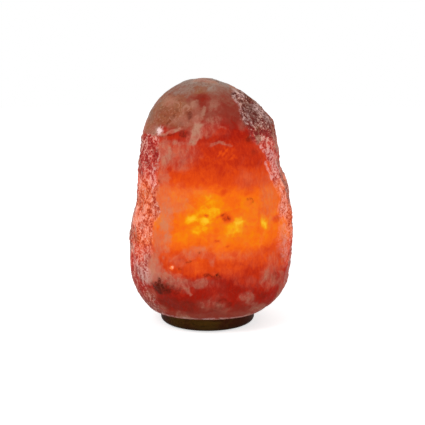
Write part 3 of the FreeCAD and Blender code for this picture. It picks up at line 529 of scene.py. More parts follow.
def drilled(points):
    """1 in the crystal's bore and plug holes and 0 elsewhere."""
    x, y, z = points.T
    inside = (np.hypot(x, y) < BORE_RADIUS + VOXEL) & (z < BORE_TOP + VOXEL)
    for hole_x, hole_y in SCREW_PLACES:
        near = np.hypot(x - hole_x, y - hole_y) < PLUG_HOLE_RADIUS + VOXEL
        inside |= near & (z < PLUG_HOLE_TOP + VOXEL)
    return inside.astype(float)


def outside_weight(points):
    """1 on the crystal's outside and 0 on its flat bottom and in its bore and holes."""
    return step(points[:, 2], *BOTTOM_BLEND) * (1 - drilled(points))


def rough_zones(points):
    """Where the crystal broke into small cubes rather than smoothly: both flanks, and seams at the back."""
    x, y, z = points.T
    ragged = EDGE_RAGS * cloud(points, "edge_rags")
    wander = cloud(points, "edge_wander") * step(y, *WANDER_DEPTHS)
    ragged += EDGE_WANDER * wander
    left = step(along(LEFT_EDGE, z + EDGE_WANDER_UP * wander) - x + ragged, *EDGE_BLEND)
    right = step(x - along(RIGHT_EDGE, z) + ragged, *EDGE_BLEND)
    low = LOW_ROUGHNESS + (1 - LOW_ROUGHNESS) * step(z, *LOW_ROUGHNESS_HEIGHTS)
    flanks = np.maximum(left, right) * low
    behind = step(cloud(points, "back_seams"), *BACK_SEAMS)
    share = step(y, *BACK_DEPTHS)
    return flanks * (1 - share) + behind * share


def chip_places(points, outside, random):
    """A random outside point for each chip, near the same place on any mesh of the crystal."""
    x, y, z = points[outside].T
    directions = x + 1j * y
    places = []
    for _ in range(CHIP_COUNT):
        turn, height = random.uniform(0, 2 * math.pi), random.uniform(SEAT, CAD_BOX[1].z)
        around = np.angle(directions * np.exp(-1j * turn)) * MEAN_RADIUS
        places.append(outside[np.hypot(around, z - height).argmin()])
    return places


def chipped(points, normals, weight):
    """Cuts shallow flats into the outside, each by a plane a little below a random point."""
    random = np.random.default_rng(SEED)
    outside = np.flatnonzero(weight > CHIP_WEIGHT)
    for index in chip_places(points, outside, random):
        facing = normals[index] + random.normal(0, CHIP_TILT, 3)
        facing /= np.linalg.norm(facing)
        depth = random.uniform(*CHIP_DEPTHS)
        apart = np.linalg.norm(points - points[index], axis=1)
        near = np.flatnonzero(apart < CHIP_REACH)
        over = (points[near] - points[index]) @ facing + depth
        pushed = CHIP_EDGE * np.logaddexp(0, over / CHIP_EDGE)
        pushed *= weight[near] * step(apart[near], CHIP_REACH, CHIP_REACH / 2)
        points[near] -= pushed[:, None] * facing
    return points


def swelled(points, normals, weight):
    """Brings the right flank out."""
    rise = np.interp(points[:, 2] / MM, *np.array(RIGHT_SWELL).T) * MM
    points[:, 0] += rise * weight * step(normals[:, 0], *RIGHT_TURN)
    return points


def topped(points):
    """Presses the peak down to a soft flat."""
    place = np.array(TOP_PLACE) * MM
    facing = np.array(TOP_NORMAL) / np.linalg.norm(TOP_NORMAL)
    over = (points - place) @ facing
    return points - (TOP_SOFTNESS * np.logaddexp(0, over / TOP_SOFTNESS))[:, None] * facing


def ledge(points):
    """A low step across the front's upper left: the rock stands out a little below its line."""
    x, y, z = points.T
    ledge_x, ledge_z = np.array(LEDGE).T * MM
    below = np.interp(x, ledge_x, ledge_z) + LEDGE_WAVE * cloud(points, "ledge") - z
    share = step(below, *LEDGE_EDGE) * (1 - step(below, *LEDGE_FADE))
    return LEDGE_RISE * share * step(-x, *LEDGE_END) * step(-y, *LEDGE_DEPTHS)


def relief(points):
    """How far each point stands out: wide swells and dents, cubes in the rough zones, and the ledge."""
    swells = sum(rise * cloud(points, name) for rise, name in SWELLS)
    cubes = sum(rise * (blocks(points, size, turn, shift) - MEAN_CUBE) for rise, size, turn, shift in CUBES)
    return swells + rough_zones(points) * cubes + ledge(points)


def crystal_mesh():
    mesh = remeshed("salt_crystal", VOXEL)
    points, edges = points_of(mesh), edges_of(mesh)
    weight = outside_weight(points)
    points = smoothed(points, edges, EDGE_SOFTENING, weight[:, None])
    put_points(mesh, points)
    normals = smoothed(normals_of(mesh), edges, NORMAL_SOFTENING)
    normals /= np.linalg.norm(normals, axis=1)[:, None]
    points = topped(chipped(swelled(points, normals, weight), normals, weight))
    points = points + (relief(points) * weight)[:, None] * normals
    put_points(mesh, points)
    return mesh


# ---- Crystal: masks ----

# Each share goes from none to all, or back, between two values of a point's normal along Y.
FRONT_TURN = (0.05, 0.45)
FACING_TURN = (-0.12, 0.2)
SIDE_TURN = (0.1, 0.48)
RIM_TURN = (0.15, 0.42)
FACING_DEPTH = 30 * MM  # the front's features reach this far back
WARPS = (1.6, 0.6)  # how many millimetres wide and fine lumps push the features about
RAGS = 0.22
HEIGHT_WARPS = (5, 1.5)  # the same for the bands of glow and chalk
WARP_FRONT_LOSS = 0.6

# Painted glow: hot spots and a mottle away from the front, and dimmer flanks.
LIT = (0.3, 0.8)
HOT_CLOUD = (0.15, 0.45)
HOT_GLOW = (0.72, 0.82)
HOT_LIFT = 0.16
SIDE_DIMMING = 0.06
BACK_MOTTLE = 0.1
MOTTLE = 0.035
FINE_MOTTLE = 0.03
ROUGH_GLOW_LIMIT = 0.8
BORE_GLOW = 0.93
BORE_GLOW_HEIGHTS = (SEAT, SEAT + 25 * MM)

VEIL_CLOUD = (-0.05, 0.45)
VEIL_LEVEL = 0.75
VEIL_FRONT_LOSS = 0.68
VEIL_LOSS_HEIGHTS = (20 * MM, 60 * MM)

STAIN_CLOUD = (0.52, 0.68)
STAIN_LEVEL = 0.6
STAIN_FRONT_LOSS = 0.9

# The side and rim shares are a painted grey sheen where the surface turns away from the front.
SIDE_SHEEN, SIDE_SHEEN_CLOUD = 0.4, (-0.35, 0.25)
BACK_CHALK, BACK_DUST = 0.35, (-0.1, 0.4)
RIM_SHEEN, RIM_SHEEN_CLOUD = 0.9, (-0.65, -0.15)
RIM_SHEEN_HEIGHTS = (45 * MM, 75 * MM)

# Frost with painted glints in the rough zones away from the front, and a painted highlight along the bottom
# edge.
FROST_AND_HIGHLIGHT_CLOUD = (0.5, 0.62)
FROST_AND_HIGHLIGHT_LEVEL = 0.6
EDGE_HIGHLIGHT = 0.3
EDGE_START = (SEAT + 0.2 * MM, SEAT + 1 * MM)
EDGE_STOP = (SEAT + 1.6 * MM, SEAT + 3 * MM)

OWN_PLACE = 2  # a patch that stays near the surface is as deep as the points this near, in millimetres
DEPTH_PER_WIDTH = 1.5
LEAST_DEPTH = 2
BOTTOM_KEPT = (SEAT, SEAT + 0.5 * MM)  # the flat bottom below this has only its glow and veils


def patched(values, skin, patches, ragged, softness, deep=None):
    """Brings a mask to each patch's level inside it. The places are in millimetres.

    Patches reach along Y, or stay near the surface point that they are on if deep gives each point's y.
    """
    for x, height, half_width, half_height, level, *turned in patches:
        turn = math.radians(turned[0]) if turned else 0
        aside, above = skin.across - x, skin.up - height
        along_width = aside * math.cos(turn) + above * math.sin(turn)
        along_height = above * math.cos(turn) - aside * math.sin(turn)
        reach = np.hypot(along_width / half_width, along_height / half_height)
        if deep is not None:
            own = deep[np.hypot(aside, above) < OWN_PLACE].min()
            reach = np.hypot(reach, (deep - own) / (DEPTH_PER_WIDTH * half_width + LEAST_DEPTH))
        values = toward(values, level, 1 - step(reach + ragged, 1 - softness, 1 + softness))
    return values


def lined(values, skin, lines, softness):
    """Brings a mask to each line's level near it."""
    for half_width, level, corners in lines:
        nearest = np.full(len(values), np.inf)
        for (x, height), (next_x, next_height) in zip(corners, corners[1:]):
            run_x, run_z = next_x - x, next_height - height
            aside, above = skin.across - x, skin.up - height
            share = np.clip((aside * run_x + above * run_z) / (run_x ** 2 + run_z ** 2), 0, 1)
            nearest = np.minimum(nearest, np.hypot(aside - share * run_x, above - share * run_z))
        reach = nearest / half_width + skin.ragged
        values = toward(values, level, 1 - step(reach, 1 - softness, 1 + softness))
    return values


def with_features(name, values, skin, deep=None):
    """A mask with the front's own patches and lines, on the points that face the front."""
    patches, raggedness, softness, lines, line_softness = FEATURES[name]
    drawn = patched(values, skin, patches, raggedness * skin.ragged, softness, deep)
    drawn = lined(drawn, skin, lines, line_softness)
    return toward(values, drawn, skin.facing)


def warped(places, points, name):
    """Places in millimetres, pushed about so that no feature keeps a plain edge."""
    wide, fine = WARPS
    return places / MM + wide * cloud(points, name) + fine * cloud(points, name + "_fine")


def skin_of(mesh):
    """What the masks are worked out from, at each point."""
    points, normals = points_of(mesh), smoothed(normals_of(mesh), edges_of(mesh), MASK_SOFTENING)
    x, y, z = points.T
    front = step(-normals[:, 1], *FRONT_TURN) * (y < 0)
    wide, fine = HEIGHT_WARPS
    wide_warp = wide * cloud(points, "height") * (1 - WARP_FRONT_LOSS * front)
    return SimpleNamespace(
        points=points,
        depth=y / MM,
        z=z,
        rough=rough_zones(points),
        inside=drilled(points),
        front=front,
        facing=step(-normals[:, 1], *FACING_TURN) * (y < FACING_DEPTH),
        # Side and rim: where the surface turns away from the front, for the painted sheen and the dimmer
        # painted glow.
        side=1 - step(np.abs(normals[:, 1]), *SIDE_TURN),
        rim=1 - step(np.abs(normals[:, 1]), *RIM_TURN),
        across=warped(x, points, "across"),
        up=warped(z, points, "up"),
        ragged=RAGS * cloud(points, "ragged"),
        height=z / MM + wide_warp + fine * cloud(points, "height_fine"),
        mottle=cloud(points, "mottle"),
    )


def painted_glow_mask(skin):
    """How strongly the painted glow shows, which stands in for the bulb's light through the salt."""
    glow = np.interp(skin.height, *np.array(GLOW_BY_HEIGHT).T)
    lit = step(glow, *LIT)
    hot = step(cloud(skin.points, "hot"), *HOT_CLOUD) * step(glow, *HOT_GLOW) * (1 - skin.rough)
    lift = HOT_LIFT * hot * (1 - skin.side) - SIDE_DIMMING * lit * skin.side + BACK_MOTTLE * skin.mottle
    glow = with_features("glow", glow + (1 - skin.front) * lift, skin)
    glow += MOTTLE * skin.mottle + FINE_MOTTLE * cloud(skin.points, "fine_mottle")
    glow = np.where(glow > ROUGH_GLOW_LIMIT, toward(glow, ROUGH_GLOW_LIMIT, skin.rough), glow)
    return toward(glow, BORE_GLOW, skin.inside * step(skin.z, *BORE_GLOW_HEIGHTS))


def veil_mask(skin):
    """Milky veils in the salt, mostly at the back and sides."""
    cleared = VEIL_FRONT_LOSS * skin.front * step(skin.z, *VEIL_LOSS_HEIGHTS)
    veil = step(cloud(skin.points, "veils"), *VEIL_CLOUD) * (VEIL_LEVEL - cleared)
    return with_features("veil", veil, skin)


def stain_mask(skin):
    """Dark red-brown stains."""
    stain = STAIN_LEVEL * step(cloud(skin.points, "stains"), *STAIN_CLOUD)
    return with_features("stain", stain * (1 - STAIN_FRONT_LOSS * skin.front), skin)


def chalk_and_sheen_mask(skin):
    """Chalky grey dust on the top and back, and a painted grey sheen on the sides, thickest at the outline.
    """
    chalk = np.interp(skin.height, *np.array(CHALK_BY_HEIGHT).T)
    dust_and_sheen = cloud(skin.points, "dust_and_sheen")
    side_sheen = SIDE_SHEEN * skin.side * step(dust_and_sheen, *SIDE_SHEEN_CLOUD)
    behind = BACK_CHALK * (1 - skin.front) * step(skin.mottle, *BACK_DUST)
    chalk = np.maximum(chalk, side_sheen + behind)
    chalk = np.maximum(chalk, RIM_SHEEN * skin.rim * step(dust_and_sheen, *RIM_SHEEN_CLOUD) * step(skin.z, *RIM_SHEEN_HEIGHTS))
    return with_features("chalk", chalk, skin)


def frost_and_highlight_mask(skin):
    """Bright frosty crystals with painted glints, and a painted highlight along the bottom edge."""
    frost = FROST_AND_HIGHLIGHT_LEVEL * step(cloud(skin.points, "frost"), *FROST_AND_HIGHLIGHT_CLOUD) * skin.rough * (1 - skin.front)
    frost = with_features("frost", frost, skin, skin.depth)
    bottom_edge_highlight = step(skin.z, *EDGE_START) * (1 - step(skin.z, *EDGE_STOP))
    return np.maximum(frost, bottom_edge_highlight * (EDGE_HIGHLIGHT + EDGE_HIGHLIGHT * cloud(skin.points, "edge_highlight_cloud")))


def masks(mesh):
    """The looks of each point of the crystal, each from 0 to 1."""
    skin = skin_of(mesh)
    kept = (1 - skin.inside) * step(skin.z, *BOTTOM_KEPT)
    return {
        "glow": painted_glow_mask(skin),
        "veil": veil_mask(skin),
        "rough": skin.rough * kept,
        "stain": stain_mask(skin) * kept,
        "chalk": chalk_and_sheen_mask(skin) * kept,
        "frost": frost_and_highlight_mask(skin) * kept,
    }


def keep_masks(mesh):
    """Stores each mask on the mesh's points, where the material reads it."""
    for name, values in masks(mesh).items():
        layer = mesh.attributes.new(name, "FLOAT", "POINT")
        layer.data.foreach_set("value", np.clip(values, 0, 1).astype(np.float32))


# ---- Crystal: material ----

MASK_NAMES = ("glow", "veil", "rough", "stain", "chalk", "frost")

# The patterns' sizes, and how some are scaled along each axis.
LUMPS = 9 * MM
FINE_GRAIN = 3.2 * MM
WISPS, WISP_RUN = 2.4 * MM, (1, 1, 0.35)
CURLS, CURL_RUN = 7 * MM, (1, 1, 0.7)
GROWN_CELLS = 12 * MM
COARSE_CRUST, CRUST_RUN = 4.2 * MM, (1, 1, 0.65)
SMALL_CRUST = 1.8 * MM
COARSE_SHARE = 0.55  # of the crust
WISP_SHARE = 0.55  # of the milky film

# The salt's colours, some tinted by the level of the painted glow.
CLEAR_SALT = (
    (0.03, srgb(148, 86, 66)), (0.13, srgb(136, 50, 38)), (0.35, srgb(116, 20, 8)),
    (0.65, srgb(112, 24, 6)), (0.95, srgb(110, 40, 6)),
)
# Grey-brown salt for the chalk and the painted sheen, by level.
DUSTY_SALT_AND_SHEEN = (
    (0.03, srgb(152, 134, 124)), (0.14, srgb(146, 101, 77)), (0.24, srgb(154, 90, 57)),
    (0.5, srgb(170, 126, 108)),
)
CRUSTY_SALT = (
    (0.12, srgb(122, 62, 54)), (0.34, srgb(156, 66, 58)), (0.55, srgb(176, 78, 70)),
    (0.8, srgb(178, 92, 78)),
)
# Painted shade in the hollows of the rough crust, by level.
PIT_SHADE = ((0.12, srgb(84, 30, 22)), (0.3, srgb(122, 28, 32)), (0.6, srgb(140, 22, 26)))
# The third milk colour is tinted by the painted glow, for where it is strong.
MILK, WARM_MILK, PAINTED_GLOW_MILK = srgb(180, 112, 94), srgb(174, 126, 104), srgb(190, 100, 62)
DUST_WISPS, DUST_VEILS, DUST_CURLS = srgb(116, 72, 52), srgb(196, 142, 120), srgb(206, 150, 128)
# Pale grains in the rough zones, partly the salt's own and partly painted glints.
PALE_GRAINS_AND_GLINTS = srgb(236, 188, 172)
STAIN = srgb(84, 24, 12)
# Pale frost and painted highlights.
ICE_AND_HIGHLIGHT = srgb(240, 206, 202)

# The painted glow, which stands in for the bulb's light through the salt, by level, as linear colours.
PAINTED_GLOW_COLOURS = (
    (0.08, (0, 0, 0, 1)), (0.22, (0.045, 0.001, 0, 1)), (0.4, (0.21, 0.004, 0.001, 1)),
    (0.55, (0.4, 0.022, 0.003, 1)), (0.7, (0.62, 0.06, 0.004, 1)), (0.82, (0.78, 0.13, 0.004, 1)),
    (0.9, (0.78, 0.21, 0, 1)), (0.95, (0.8, 0.36, 0.002, 1)), (1, (0.84, 0.52, 0.02, 1)),
)


def salt_patterns(salt):
    """The crystal's masks and its noises, as sockets."""
    place = salt.place()
    curls = salt.noise(salt.stretched(place, CURL_RUN), CURLS, 2, 0.5, 1.4)
    coarse = salt.noise(salt.stretched(place, CRUST_RUN), COARSE_CRUST, 3, 0.7, 0.5)
    small = salt.noise(place, SMALL_CRUST, 3, 0.65)
    borders = salt.cells(place, GROWN_CELLS, "Distance", "DISTANCE_TO_EDGE")
    return SimpleNamespace(
        **{name: salt.attribute(name) for name in MASK_NAMES},
        lumps=salt.noise(place, LUMPS, 4, 0.6, 0.3),
        fine=salt.noise(place, FINE_GRAIN, 4, 0.65),
        wisps=salt.noise(salt.stretched(place, WISP_RUN), WISPS, 4, 0.7, 0.6),
        curls=salt.between(salt.distance(curls, 0.5), 0.004, 0.022, 1, 0),
        crystals=salt.cells(place, GROWN_CELLS, "Color"),
        seams=salt.between(borders, 0, 0.06, 1, 0),
        crust=salt.blend(coarse, small, COARSE_SHARE),
    )


def painted_glow_level(salt, seen):
    """How much painted glow shows: its mask, uneven with the grain, crystals and wisps."""
    level = salt.add(seen.glow, salt.between(seen.fine, 0.3, 0.7, -0.02, 0.02))
    level = salt.add(level, salt.between(seen.crystals, 0.2, 0.8, -0.02, 0.02))
    low = salt.between(seen.glow, 0.12, 0.36, 0.015, 0.05)
    high = salt.between(seen.glow, 0.5, 0.85, 1, 0.12)
    wisps = salt.between(seen.wisps, 0.32, 0.68, -0.9, 1)
    return salt.add(level, salt.times(salt.times(low, high), wisps))


def salt_film(salt, seen):
    """The milky film: veils broken up by wisps, their rims, curls and the seams between crystals."""
    film = salt.between(salt.blend(seen.wisps, seen.lumps, WISP_SHARE), 0.38, 0.6, 0.5, 1.1)
    film = salt.times(seen.veil, film)
    rims = salt.between(salt.distance(seen.veil, 0.28), 0, 0.1, 0.16, 0)
    extras = (
        (rims, salt.between(seen.wisps, 0.45, 0.6)),
        (seen.curls, salt.between(seen.veil, 0.1, 0.6, 0.03, 0.28)),
        (seen.seams, salt.between(seen.lumps, 0.48, 0.6, 0, 0.04)),
    )
    for lines, share in extras:
        film = salt.add(film, salt.times(lines, share), clamp=True)
    return film


def salt_layers(salt, seen):
    """How strongly each layer on the salt shows."""
    film = salt_film(salt, seen)
    # The chalk and the painted sheen, thinner under the milky film.
    dust_and_sheen = salt.times(seen.chalk, salt.between(seen.lumps, 0.35, 0.6, 0.72, 1))
    bare = salt.times(seen.rough, salt.between(seen.chalk, 0.3, 0.9, 1, 0.45))
    # Frost and painted highlights, broken up by the crust.
    ice_and_highlights = salt.times(seen.frost, salt.between(seen.crust, 0.44, 0.54, 0.12, 1.1))
    return SimpleNamespace(
        film=film,
        # Pale grains, partly painted glints, on the rough zones' rises.
        grains_and_glints=salt.times(salt.between(seen.crust, 0.52, 0.575), bare),
        # Painted shade in the crust's hollows, where it is lowest.
        shaded_pits=salt.times(salt.between(seen.crust, 0.49, 0.44), seen.rough),
        dust_and_sheen=salt.times(dust_and_sheen, salt.between(film, 0.2, 0.8, 1, 0.3)),
        stain=salt.times(seen.stain, salt.between(seen.crust, 0.43, 0.55, 0.5, 1.3), clamp=True),
        ice_and_highlights=salt.maths("MAXIMUM", ice_and_highlights, salt.between(seen.frost, 0.7, 0.95)),
    )


def dust_and_sheen_colour(salt, seen, level):
    """Grey-brown chalk and painted sheen with darker wisps, paler veils and pale curls."""
    dusty = salt.ramp(level, DUSTY_SALT_AND_SHEEN)
    shares = (
        (salt.between(seen.wisps, 0.5, 0.64, 0, 0.5), DUST_WISPS),
        (salt.times(seen.veil, salt.between(seen.lumps, 0.4, 0.6, 0.6, 1)), DUST_VEILS),
        (salt.times(seen.curls, salt.between(level, 0.1, 0.2, 0, 0.5)), DUST_CURLS),
    )
    for share, colour in shares:
        dusty = salt.mix(share, dusty, colour)
    return dusty


def salt_colour(salt, seen, level, layers):
    """Clear salt with each layer over the last, painted glow tints, sheen, highlights and shade among them.
    """
    milk = salt.mix(salt.between(seen.lumps, 0.4, 0.6), MILK, WARM_MILK)
    milk = salt.mix(salt.between(level, 0.42, 0.75, 0, 0.45), milk, PAINTED_GLOW_MILK)
    colour = salt.ramp(level, CLEAR_SALT)
    coats = (
        (layers.film, milk),
        (salt.times(seen.rough, 0.85), salt.ramp(level, CRUSTY_SALT)),
        (layers.dust_and_sheen, dust_and_sheen_colour(salt, seen, level)),
        (salt.times(layers.shaded_pits, 0.92), salt.ramp(level, PIT_SHADE)),
        (salt.times(layers.grains_and_glints, salt.between(level, 0.15, 0.6, 0.95, 0.6)), PALE_GRAINS_AND_GLINTS),
        (layers.stain, STAIN),
        (layers.ice_and_highlights, ICE_AND_HIGHLIGHT),
    )
    for share, coat in coats:
        colour = salt.mix(share, colour, coat)
    return colour


def salt_painted_glow(salt, seen, level, layers):
    """The painted glow's colour, held back by what lies over it."""
    shade = salt.less(1, salt.times(layers.film, salt.between(level, 0.45, 0.8, 0.78, 0.7)))
    passed = (
        (layers.shaded_pits, 0.5), (layers.grains_and_glints, 0.74), (seen.rough, 0.62),
        (layers.stain, 0.12), (layers.dust_and_sheen, 0.12), (layers.ice_and_highlights, 0.35),
    )
    for layer, share in passed:
        shade = salt.times(shade, salt.between(layer, 0, 1, 1, share))
    grey = salt.node("ShaderNodeCombineColor", {0: shade, 1: shade, 2: shade}).outputs[0]
    return salt.mix(1, salt.ramp(level, PAINTED_GLOW_COLOURS), grey, "MULTIPLY")


def salt_material():
    salt = Material("salt")
    seen = salt_patterns(salt)
    level = painted_glow_level(salt, seen)
    layers = salt_layers(salt, seen)
    crust = salt.times(salt.times(seen.crust, seen.rough), 1.8)
    return salt.finish(
        Base_Color=salt_colour(salt, seen, level, layers),
        Roughness=salt.between(seen.fine, 0.3, 0.7, 0.38, 0.62),
        Specular_IOR_Level=0.08,
        IOR=1.25,
        # The salt's emission is painted glow in place of the bulb's light through it.
        Emission_Color=salt_painted_glow(salt, seen, level, layers),
        Emission_Strength=1,
        Normal=salt.bump(salt.add(salt.times(seen.fine, 0.6), crust), 0.6 * MM, 0.6),
    )


def make_crystal():
    mesh = crystal_mesh()
    keep_masks(mesh)
    mesh.materials.clear()
    mesh.materials.append(salt_material())
    mesh.shade_smooth()
    crystal = bpy.data.objects.new("crystal", mesh)
    bpy.context.scene.collection.objects.link(crystal)
    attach(crystal, "root")
    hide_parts("salt_crystal")


# ---- Wood ----

GRAIN, GRAIN_RUN = 1.5 * MM, (0.1, 1, 1)
BROAD_GRAIN, BROAD_RUN = 16 * MM, (0.2, 1, 1)
PORES, PORE_RUN = 0.5 * MM, (0.06, 1, 1)
OLIVE_WOOD = ((0.3, srgb(60, 40, 10)), (0.5, srgb(80, 54, 15)), (0.7, srgb(94, 65, 21)))
RED_WOOD, PORE_WOOD, SHADED_FOOT_WOOD = srgb(62, 22, 12), srgb(24, 14, 10), srgb(30, 18, 9)
RED_EDGE = 18 * MM  # how far the edge between olive and red wood wanders
RED_REACH = (8 * MM, 38 * MM)  # from the middle to each side
# Painted shade: the wood is darker towards the table.
FOOT_SHADE_HEIGHTS = (1 * MM, 10 * MM)  # the foot is darker


def dark_wood():
    """Dark stained wood with its grain along X: olive in the middle, redder to both sides, painted shade
    near the table.
    """
    wood = Material("dark_wood")
    place = wood.place()
    grain = wood.noise(wood.stretched(place, GRAIN_RUN), GRAIN, 5, 0.6, 0.4)
    broad = wood.noise(wood.stretched(place, BROAD_RUN), BROAD_GRAIN, 3, 0.5, 0.8)
    pores = wood.noise(wood.stretched(place, PORE_RUN), PORES, 2)
    axes = wood.node("ShaderNodeSeparateXYZ", {"Vector": place}).outputs
    aside = wood.add(wood.distance(axes["X"], 0), wood.between(broad, 0.3, 0.7, -RED_EDGE, RED_EDGE))
    colour = wood.ramp(grain, OLIVE_WOOD)
    colour = wood.mix(wood.between(aside, *RED_REACH, 0, 0.9), colour, RED_WOOD)
    colour = wood.mix(wood.between(pores, 0.36, 0.3, 0, 0.4), colour, PORE_WOOD)
    # Painted shade towards the table.
    colour = wood.mix(wood.between(axes["Z"], *FOOT_SHADE_HEIGHTS, 0.72, 0), colour, SHADED_FOOT_WOOD)
    return wood.finish(
        Base_Color=colour,
        Roughness=wood.between(grain, 0.3, 0.7, 0.6, 0.46),
        Specular_IOR_Level=0.06,
        IOR=1.3,
        Normal=wood.bump(wood.add(grain, wood.between(pores, 0.3, 0.36)), 0.08 * MM, 0.4),
    )


# ---- Metals ----

TARNISH_CLOUDS = 5 * MM
TOOL_MARKS = 0.5 * MM
MARK_SHARE = 0.18
MARK_DEPTH = 0.03 * MM

# Fresh and dull colour, range of roughness, how the marks are scaled along each axis, marks and tarnish.
METALS = {
    "steel": (srgb(196, 198, 200), srgb(140, 142, 148), (0.28, 0.46), (1, 1, 0.2)),
    "spring_steel": (srgb(188, 188, 186), srgb(118, 116, 118), (0.24, 0.42), (1, 1, 0.08)),
    "brass": (srgb(214, 178, 104), srgb(150, 112, 58), (0.24, 0.44), (1, 1, 0.3), 0.6, 0.8),
    "bulb_cap_metal": (srgb(214, 210, 200), srgb(158, 152, 142), (0.2, 0.38), (0.3, 0.3, 1)),
    "solder": (srgb(160, 160, 162), srgb(104, 104, 108), (0.42, 0.6), (1, 1, 1), 0.9),
}


def metal(name, fresh, dull, roughness, run, marks=0.6, tarnish=0.45):
    """A metal with clouded tarnish, rolled or turned marks, and uneven gloss."""
    made = Material(name)
    place = made.place()
    cloudy = made.noise(place, TARNISH_CLOUDS, 4, 0.55, 0.2)
    lines = made.noise(made.stretched(place, run), TOOL_MARKS, 3, 0.6)
    tone = made.mix(made.between(cloudy, 0.35, 0.75, 0, tarnish), fresh, dull)
    tone = made.mix(made.between(lines, 0.35, 0.65, 0, MARK_SHARE), tone, dull)
    return made.finish(
        Base_Color=tone,
        Metallic=1,
        Roughness=made.between(made.add(cloudy, lines), 0.75, 1.25, *roughness),
        Normal=made.bump(lines, MARK_DEPTH, marks),
    )


# ---- Plastics, rubber, ceramic ----

MOULDED_CLOUDS = 12 * MM
SPECK_SIZE = 0.6  # of the surface texture's

# Main and shade tone, range of roughness, size and depth of the texture, gloss.
MOULDINGS = {
    "white_plastic": (srgb(226, 222, 210), srgb(208, 202, 186), (0.34, 0.52), 0.8 * MM, 0.03 * MM),
    "ceramic": (srgb(232, 228, 218), srgb(206, 198, 184), (0.55, 0.78), 0.5 * MM, 0.05 * MM, 0.4),
    "nylon": (srgb(206, 206, 200), srgb(180, 180, 172), (0.4, 0.56), 0.9 * MM, 0.03 * MM),
    "rubber": (srgb(46, 45, 44), srgb(68, 66, 64), (0.68, 0.88), 0.6 * MM, 0.05 * MM, 0.3),
    "black_glass": (srgb(26, 26, 32), srgb(48, 46, 54), (0.08, 0.22), 1.6 * MM, 0.03 * MM),
}


def moulding(name, main, shade, roughness, texture, depth, specular=0.5):
    """A moulded material with faint clouding, a fine surface texture and specks."""
    made = Material(name)
    place = made.place()
    cloudy = made.noise(place, MOULDED_CLOUDS, 4, 0.6)
    peel = made.noise(place, texture, 3, 0.6)
    specks = made.noise(place, texture * SPECK_SIZE, 2)
    tone = made.mix(made.between(cloudy, 0.35, 0.7, 0, 0.8), main, shade)
    tone = made.mix(made.between(specks, 0.66, 0.74, 0, 0.5), tone, shade)
    return made.finish(
        Base_Color=tone,
        Roughness=made.between(made.add(cloudy, peel), 0.75, 1.25, *roughness),
        Specular_IOR_Level=specular,
        Normal=made.bump(peel, depth, 0.6),
    )


# ---- Glass and filament ----

GLASS_FILM, GLASS_WAVES = 9 * MM, 14 * MM
CLEAN_GLASS, FILMED_GLASS = (0.97, 0.98, 0.98, 1), (0.9, 0.93, 0.93, 1)
HEAT_SPOTS = 3 * MM
TUNGSTEN, DARK_TUNGSTEN = srgb(150, 130, 110), srgb(90, 80, 74)
HEAT = ((0.35, (1, 0.42, 0.1, 1)), (0.6, (1, 0.66, 0.26, 1)))
FILAMENT_POWER = 6


def clear_glass():
    """Blown glass with faint waves and a thin film on it."""
    glass = Material("clear_glass")
    place = glass.place()
    film = glass.noise(place, GLASS_FILM, 4, 0.6)
    waves = glass.noise(place, GLASS_WAVES, 2, 0.4)
    return glass.finish(
        Base_Color=glass.mix(glass.between(film, 0.4, 0.7), CLEAN_GLASS, FILMED_GLASS),
        Roughness=glass.between(film, 0.45, 0.75, 0, 0.08),
        IOR=1.5,
        Transmission_Weight=1,
        Normal=glass.bump(waves, 0.2 * MM, 0.3),
    )


def tungsten():
    """The glowing filament, hotter in places."""
    wire = Material("tungsten")
    heat = wire.noise(wire.place(), HEAT_SPOTS, 2, 0.5)
    return wire.finish(
        Base_Color=wire.mix(heat, TUNGSTEN, DARK_TUNGSTEN),
        Metallic=1,
        Roughness=0.5,
        Emission_Color=wire.ramp(heat, HEAT),
        Emission_Strength=FILAMENT_POWER,
    )


# ---- Pieces ----

PIECES = {
    "dark_wood": ("wooden_base",),
    "steel": ("base_screws", "terminal_screws", "bulb_leads"),
    "spring_steel": ("spring_clip",),
    "brass": ("terminals", "screw_shell", "centre_contact"),
    "bulb_cap_metal": ("bulb_cap",),
    "solder": ("bulb_tip_contact",),
    "white_plastic": ("holder_cap", "holder_body", "clip_nut"),
    "ceramic": ("holder_insert",),
    "nylon": ("wall_plugs", "cord_grip_screw"),
    "rubber": ("rubber_feet", "cord_bushing"),
    "black_glass": ("bulb_cap_insulator",),
    "clear_glass": ("bulb_glass", "bulb_stem"),
    "tungsten": ("bulb_filament",),
}


def finish_pieces():
    """Gives every piece but the crystal its material."""
    made = {"dark_wood": dark_wood(), "clear_glass": clear_glass(), "tungsten": tungsten()}
    made.update({name: metal(name, *look) for name, look in METALS.items()})
    made.update({name: moulding(name, *look) for name, look in MOULDINGS.items()})
    for material, names in PIECES.items():
        for name in names:
            data = NODES[name].data
            data.materials.clear()
            data.materials.append(made[material])


# ---- Stage ----

FLOOR_RADIUS = 1.5
FLOOR_CORNERS = 64
FLOOR_COLOUR = (0.86, 0.86, 0.86, 1)
FLOOR_LIFT = 0.6  # added to the floor for the rays that see the white background
WORLD_LEVEL = 0.6
LAMP_TARGET = (0, 0, 0.11)
LAMPS = (("key", (-0.9, -1.1, 1.3), 0.8, 12), ("fill", (1.2, -0.9, 0.9), 1, 5))  # place, size, power


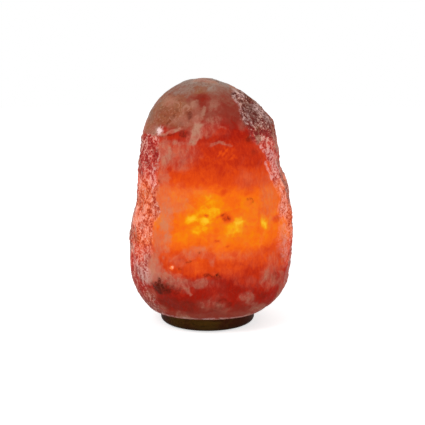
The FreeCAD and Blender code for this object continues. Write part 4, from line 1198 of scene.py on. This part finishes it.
def floor_material():
    """Pale and shadowed, lifted to white for the rays that see it, and clear from below."""
    made = Material("floor")
    made.tree.nodes.remove(made.shader)
    diffuse = made.node("ShaderNodeBsdfDiffuse", {"Color": FLOOR_COLOUR})
    lift = made.times(made.background_rays(), FLOOR_LIFT)
    extra = made.node("ShaderNodeEmission", {"Color": WHITE, "Strength": lift})
    both = made.node("ShaderNodeAddShader", {0: diffuse.outputs[0], 1: extra.outputs[0]})
    below = made.node("ShaderNodeNewGeometry").outputs["Backfacing"]
    clear = made.node("ShaderNodeBsdfTransparent")
    surface = made.node("ShaderNodeMixShader", {0: below, 1: both.outputs[0], 2: clear.outputs[0]})
    made.fill(made.tree.nodes["Material Output"].inputs["Surface"], surface.outputs[0])
    return made.material


def make_floor():
    """A round white floor that can be looked through from below."""
    data = bpy.data.meshes.new("floor")
    turns = [2 * math.pi * corner / FLOOR_CORNERS for corner in range(FLOOR_CORNERS)]
    rim = [(FLOOR_RADIUS * math.cos(turn), FLOOR_RADIUS * math.sin(turn), 0) for turn in turns]
    data.from_pydata(rim, [], [range(FLOOR_CORNERS)])
    data.materials.append(floor_material())
    floor = bpy.data.objects.new("floor", data)
    bpy.context.scene.collection.objects.link(floor)


def make_world():
    """Soft even light, behind a background that is seen as white."""
    world = bpy.data.worlds.new("world")
    world.use_nodes = True
    bpy.context.scene.world = world
    made = Nodes(world.node_tree)
    inputs = {"Value": made.background_rays(), "To Min": WORLD_LEVEL, "To Max": 1}
    background = made.tree.nodes["Background"]
    made.fill(background.inputs["Strength"], made.node("ShaderNodeMapRange", inputs).outputs["Result"])
    made.fill(background.inputs["Color"], WHITE)


def make_lamps():
    for name, place, size, power in LAMPS:
        data = bpy.data.lights.new(name, "AREA")
        data.shape, data.size, data.energy = "DISK", size, power
        lamp = bpy.data.objects.new(name, data)
        lamp.location = place
        lamp.rotation_euler = (Vector(LAMP_TARGET) - Vector(place)).to_track_quat("-Z", "Y").to_euler()
        bpy.context.scene.collection.objects.link(lamp)


# ---- Build ----


def main():
    bpy.context.scene.view_settings.view_transform = "Standard"
    make_camera()
    make_crystal()
    finish_pieces()
    make_floor()
    make_world()
    make_lamps()
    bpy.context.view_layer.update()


main()
